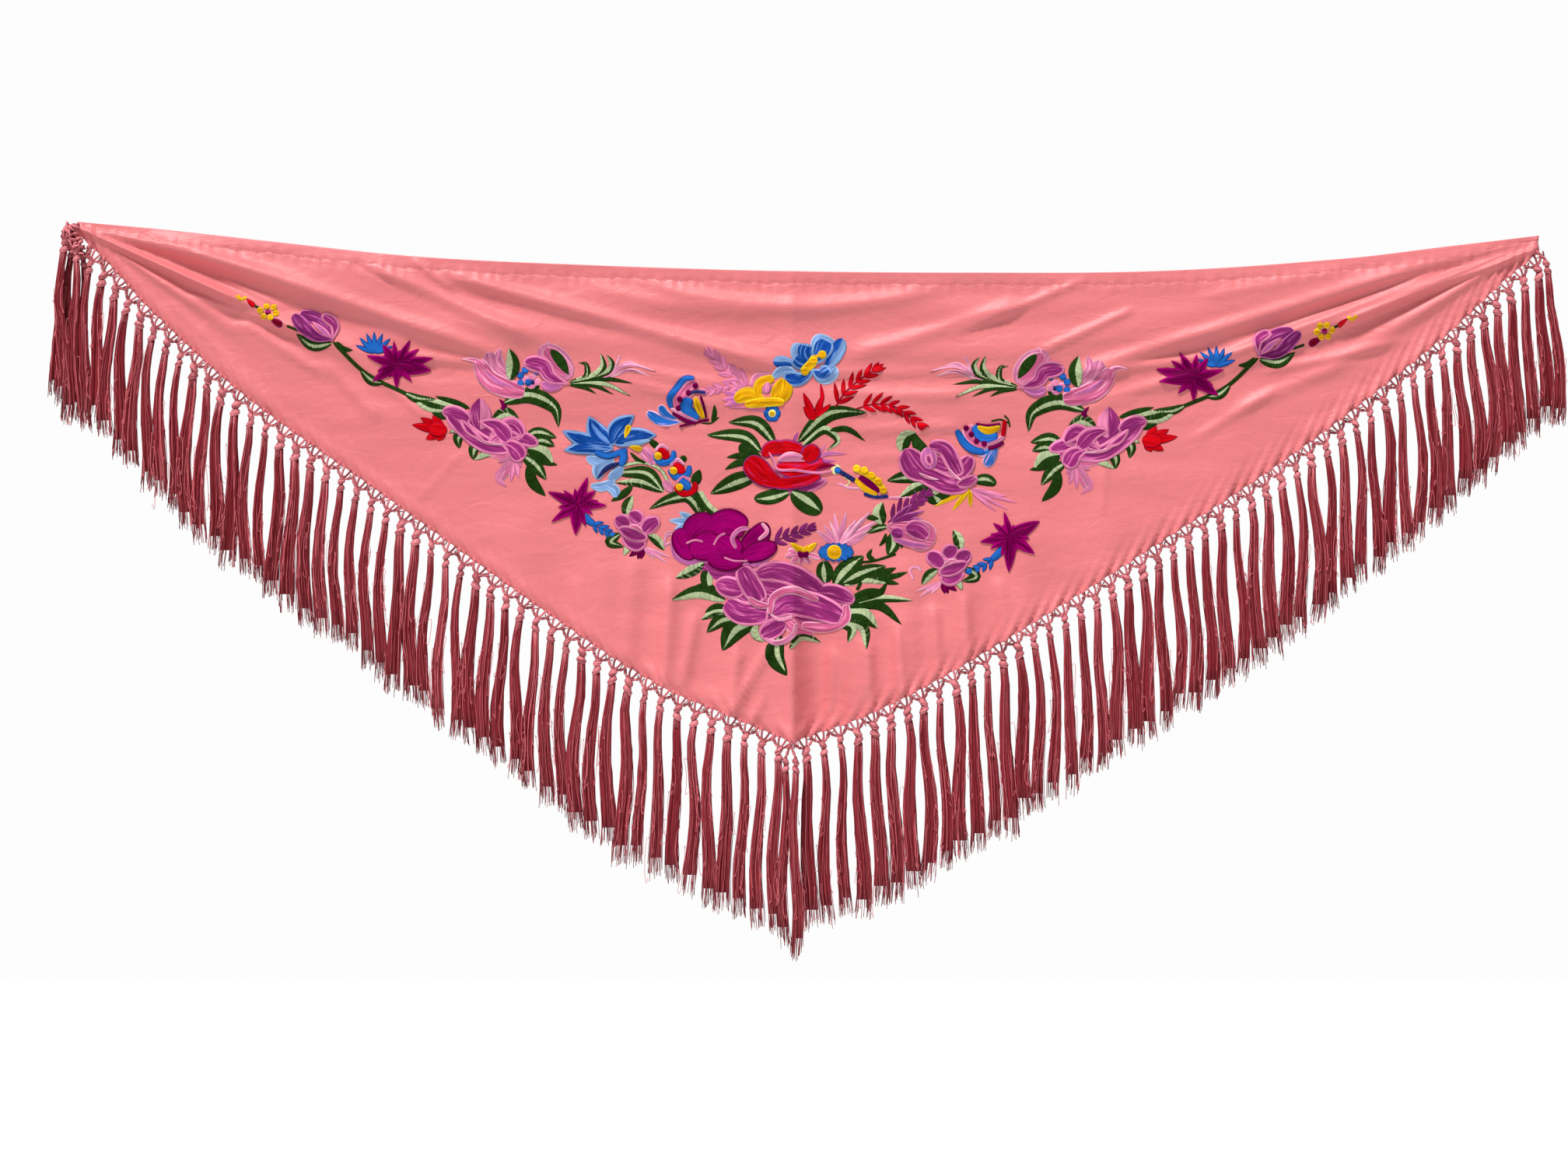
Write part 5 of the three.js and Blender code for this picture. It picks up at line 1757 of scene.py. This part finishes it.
def mauve_bud(stitches):
    stitches.rows([
        ("leaf", "half leaf", 0, 16, (106, 336), (102, 322), (106, 310)),
        ("leaf", "green", 0, 7, (104, 330), (96, 328), (86, 328)),
        ("leaf", "leaf", 0, 9, (112, 338), (100, 340), (88, 346)),
        ("leaf", "leaf", 0, 17, (116, 346), (118, 358), (112, 372)),
        ("leaf", "green", 0, 8, (118, 348), (128, 354), (128, 364)),
        ("leaf", "green", 0, 5, (110, 346), (108, 354), (102, 361)),
        ("petal", "rose pink", 1, 36, (110, 338), (138, 344), (167, 356)),
        ("oval", "deep purple", 2, 13, (116, 344), (130, 348)),
        ("oval", "mauve", 2, 24, (132, 340), (146, 342), (160, 352)),
        ("band", "lilac", 2, 8, (118, 352), (136, 358), (158, 361)),
    ])
    stitches.frond("plain purple", 0, 5.5, 22, 6, (112, 334), (130, 318), (156, 302))
    stitches.rays("deep purple", 1, 8, (116, 334), [(154, 320), (152, 329), (140, 312)])


def great_peony(stitches):
    """The large peony at the lower middle."""
    stitches.rows([
        ("leaf", "half leaf", 0, 16, (-76, 424), (-106, 414), (-138, 423)),
        ("leaf", "green", 0, 10, (-82, 418), (-98, 408), (-116, 410)),
        ("leaf", "green", 0, 9, (-74, 432), (-88, 432), (-100, 438)),
        ("leaf", "far half leaf", 0, 11, (-70, 438), (-88, 438), (-104, 446)),
        ("leaf", "leaf", 0, 17, (-58, 444), (-80, 446), (-98, 461)),
        ("leaf", "leaf", 0, 26, (-40, 448), (-64, 456), (-80, 482)),
        ("leaf", "pale green", 0, 11, (-40, 450), (-42, 462), (-30, 472)),
        ("leaf", "green", 0, 22, (-14, 462), (-19, 488), (-5, 511)),
        ("leaf", "pale", 1, 6, (-15, 464), (-16, 486), (-7, 506)),
        ("oval", "rose pink", 0, 24, (-12, 438), (6, 452), (26, 462)),
        ("leaf", "far half leaf", 0, 10, (-2, 480), (12, 466), (35, 473)),
        ("oval", "leaf", 0, 20, (40, 404), (38, 378)),
        ("leaf", "leaf", 0, 24, (50, 408), (62, 392), (84, 372)),
        ("leaf", "leaf", 0, 18, (60, 404), (84, 392), (110, 384)),
        ("leaf", "far half leaf", 0, 12, (60, 406), (84, 398), (114, 404)),
        ("leaf", "green", 0, 9, (92, 396), (112, 390), (122, 386)),
        ("leaf", "green", 0, 7, (100, 396), (118, 396), (135, 391)),
        ("leaf", "green", 0, 7, (98, 398), (112, 402), (125, 405)),
        ("leaf", "green", 0, 8, (66, 424), (88, 414), (108, 412)),
        ("leaf", "green", 0, 10, (70, 428), (100, 418), (112, 402)),
        ("leaf", "half leaf", 0, 9, (74, 428), (104, 422), (141, 424)),
        ("leaf", "green", 0, 11, (66, 432), (102, 430), (128, 452)),
        ("leaf", "half leaf", 0, 18, (62, 440), (82, 440), (100, 456)),
        ("leaf", "half leaf", 0, 12, (54, 450), (70, 456), (66, 473)),
        ("leaf", "far half leaf", 0, 12, (66, 448), (84, 456), (87, 480)),
        ("stem", "green", 0, 3, (78, 380), (96, 378), (122, 370)),
        ("leaf", "green", 0, 6, (98, 378), (90, 372), (94, 364)),
        ("stem", "green", 0, 4, (76, 412), (80, 404), (78, 396)),
        ("oval", "mauve", 0, 66, (-72, 404), (-14, 420), (66, 432)),
        ("oval", "mauve", 1, 26, (-88, 404), (-74, 408), (-54, 414)),
        ("band", "mauve", 1, 28, (-76, 426), (-58, 438), (-26, 440)),
        ("band", "mauve", 1, 26, (-40, 394), (-18, 390), (10, 398), (38, 416)),
        ("band", "mauve", 2, 26, (-58, 386), (-48, 404), (-34, 426)),
        ("oval", "rose pink", 3, 9, (-50, 420), (-40, 428), (-24, 431)),
        ("oval", "mauve", 1, 24, (28, 414), (48, 416), (74, 424)),
        ("band", "rose pink", 1, 13, (12, 453), (40, 455), (62, 446), (64, 428)),
        ("oval", "mauve", 2, 24, (-6, 450), (-20, 456), (-36, 466)),
        ("band", "pink", 2, 7, (-32, 467), (-16, 473), (2, 464), (6, 450)),
        ("band", "mauve", 2, 32, (-22, 438), (-4, 427), (24, 430), (60, 444)),
        ("band", "rose pink", 3, 10, (-25, 440), (-20, 420), (2, 412), (32, 424)),
        ("band", "pink", 3, 4, (-24, 440), (-14, 446), (2, 442)),
    ])


def centre(stitches):
    for motif in (
        golden_flower, iris, red_rose, moth, mauve_rose, large_rose, asters, mauve_bud, great_peony,
        right_butterfly, right_star,
    ):
        motif(stitches)
    small_rose(stitches, 184, 382, -1)


def arm(stitches):
    for motif in (arm_end, arm_callas, arm_peony):
        motif(stitches)


def left_side(stitches):
    arm(stitches)
    for motif in (lily, pansies, left_butterfly, left_star):
        motif(stitches)
    small_rose(stitches, -180, 342, 1)


def right_side(stitches):
    stitches.mirrored = True
    arm(stitches)


def embroidery_pieces():
    """The embroidery on the front, and on the back, where the same stitches come through."""
    silk = silk_material()
    pieces = []
    for side, draw, seed in (("left", left_side, 21), ("centre", centre, 22), ("right", right_side, 23)):
        for face, name in ((FRONT, "front"), (BACK, "back")):
            stitches = Stitches(face, seed)
            draw(stitches)
            pieces.append(stitches.gathered.piece(f"embroidery_{side}_{name}", silk, "thread"))
    return pieces


crepe = crepe_material()
cloth = cloth_piece(crepe)
fringes = fringe_pieces()
hems = hem_pieces(crepe, fringe_material("hem_thread", (0.55, 0.09, 0.11, 1), (0.85, 0.30, 0.32, 1), 0.4))
embroidery = embroidery_pieces()

# The studio: the camera sees the shawl square on, at so many pixels and so many metres a pixel
IMAGE_WIDTH = 2016
SCALE = 0.904 * MM
SENSOR_WIDTH = 36
CAMERA_DISTANCE = 3.2
FRAME_CENTRE = Vector((-0.877, 0, -0.4095))
FLOOR_Z = -1.50
FLOOR_SIZE = 9
AMBIENT = 0.22
BACKDROP = 0.98


def add_camera():
    camera = bpy.data.cameras.new("camera")
    camera.sensor_width = SENSOR_WIDTH
    camera.lens = SENSOR_WIDTH * CAMERA_DISTANCE / (IMAGE_WIDTH * SCALE)
    seat = bpy.data.objects.new("camera", camera)
    seat.location = FRAME_CENTRE + Vector((0, -CAMERA_DISTANCE, 0))
    seat.rotation_euler = (math.pi / 2, 0, 0)
    bpy.context.scene.collection.objects.link(seat)
    bpy.context.scene.camera = seat


def add_far_light(name, towards, strength, spread_degrees):
    """A large soft light far away, which lights the whole width evenly."""
    light = bpy.data.lights.new(name, "SUN")
    light.energy, light.angle = strength, math.radians(spread_degrees)
    lamp = bpy.data.objects.new(name, light)
    lamp.rotation_euler = Vector(towards).to_track_quat("-Z", "Y").to_euler()
    bpy.context.scene.collection.objects.link(lamp)


def add_floor():
    bpy.ops.mesh.primitive_plane_add(size=FLOOR_SIZE, location=(FRAME_CENTRE.x, 0, FLOOR_Z))
    floor = bpy.context.object
    floor.name = "floor"
    shader = Shader("pale_floor", roughness=0.8)
    where = shader.node("ShaderNodeTexCoord", output="Object")
    pale = shader.mix(shader.noise(where, 2.0), (0.83, 0.83, 0.83, 1), (0.85, 0.85, 0.85, 1))
    shader.wire("Base Color", pale)
    floor.data.materials.append(shader.material)


def add_world():
    """A white backdrop, which lights the shawl less than it shows."""
    world = bpy.data.worlds.new("studio")
    world.use_nodes = True
    nodes, links = world.node_tree.nodes, world.node_tree.links
    background = nodes["Background"]
    background.inputs["Color"].default_value = (1, 1, 1, 1)
    level = nodes.new("ShaderNodeMapRange")
    level.inputs["To Min"].default_value = AMBIENT
    level.inputs["To Max"].default_value = BACKDROP
    links.new(nodes.new("ShaderNodeLightPath").outputs["Is Camera Ray"], level.inputs["Value"])
    links.new(level.outputs[0], background.inputs["Strength"])
    bpy.context.scene.world = world


def add_studio():
    add_far_light("key", (0.30, 0.52, -1.0), 3.8, 9)
    add_far_light("fill", (-0.5, 0.9, -0.1), 0.25, 60)
    add_floor()
    add_world()
    bpy.context.scene.view_settings.view_transform = "Standard"


add_camera()
add_studio()
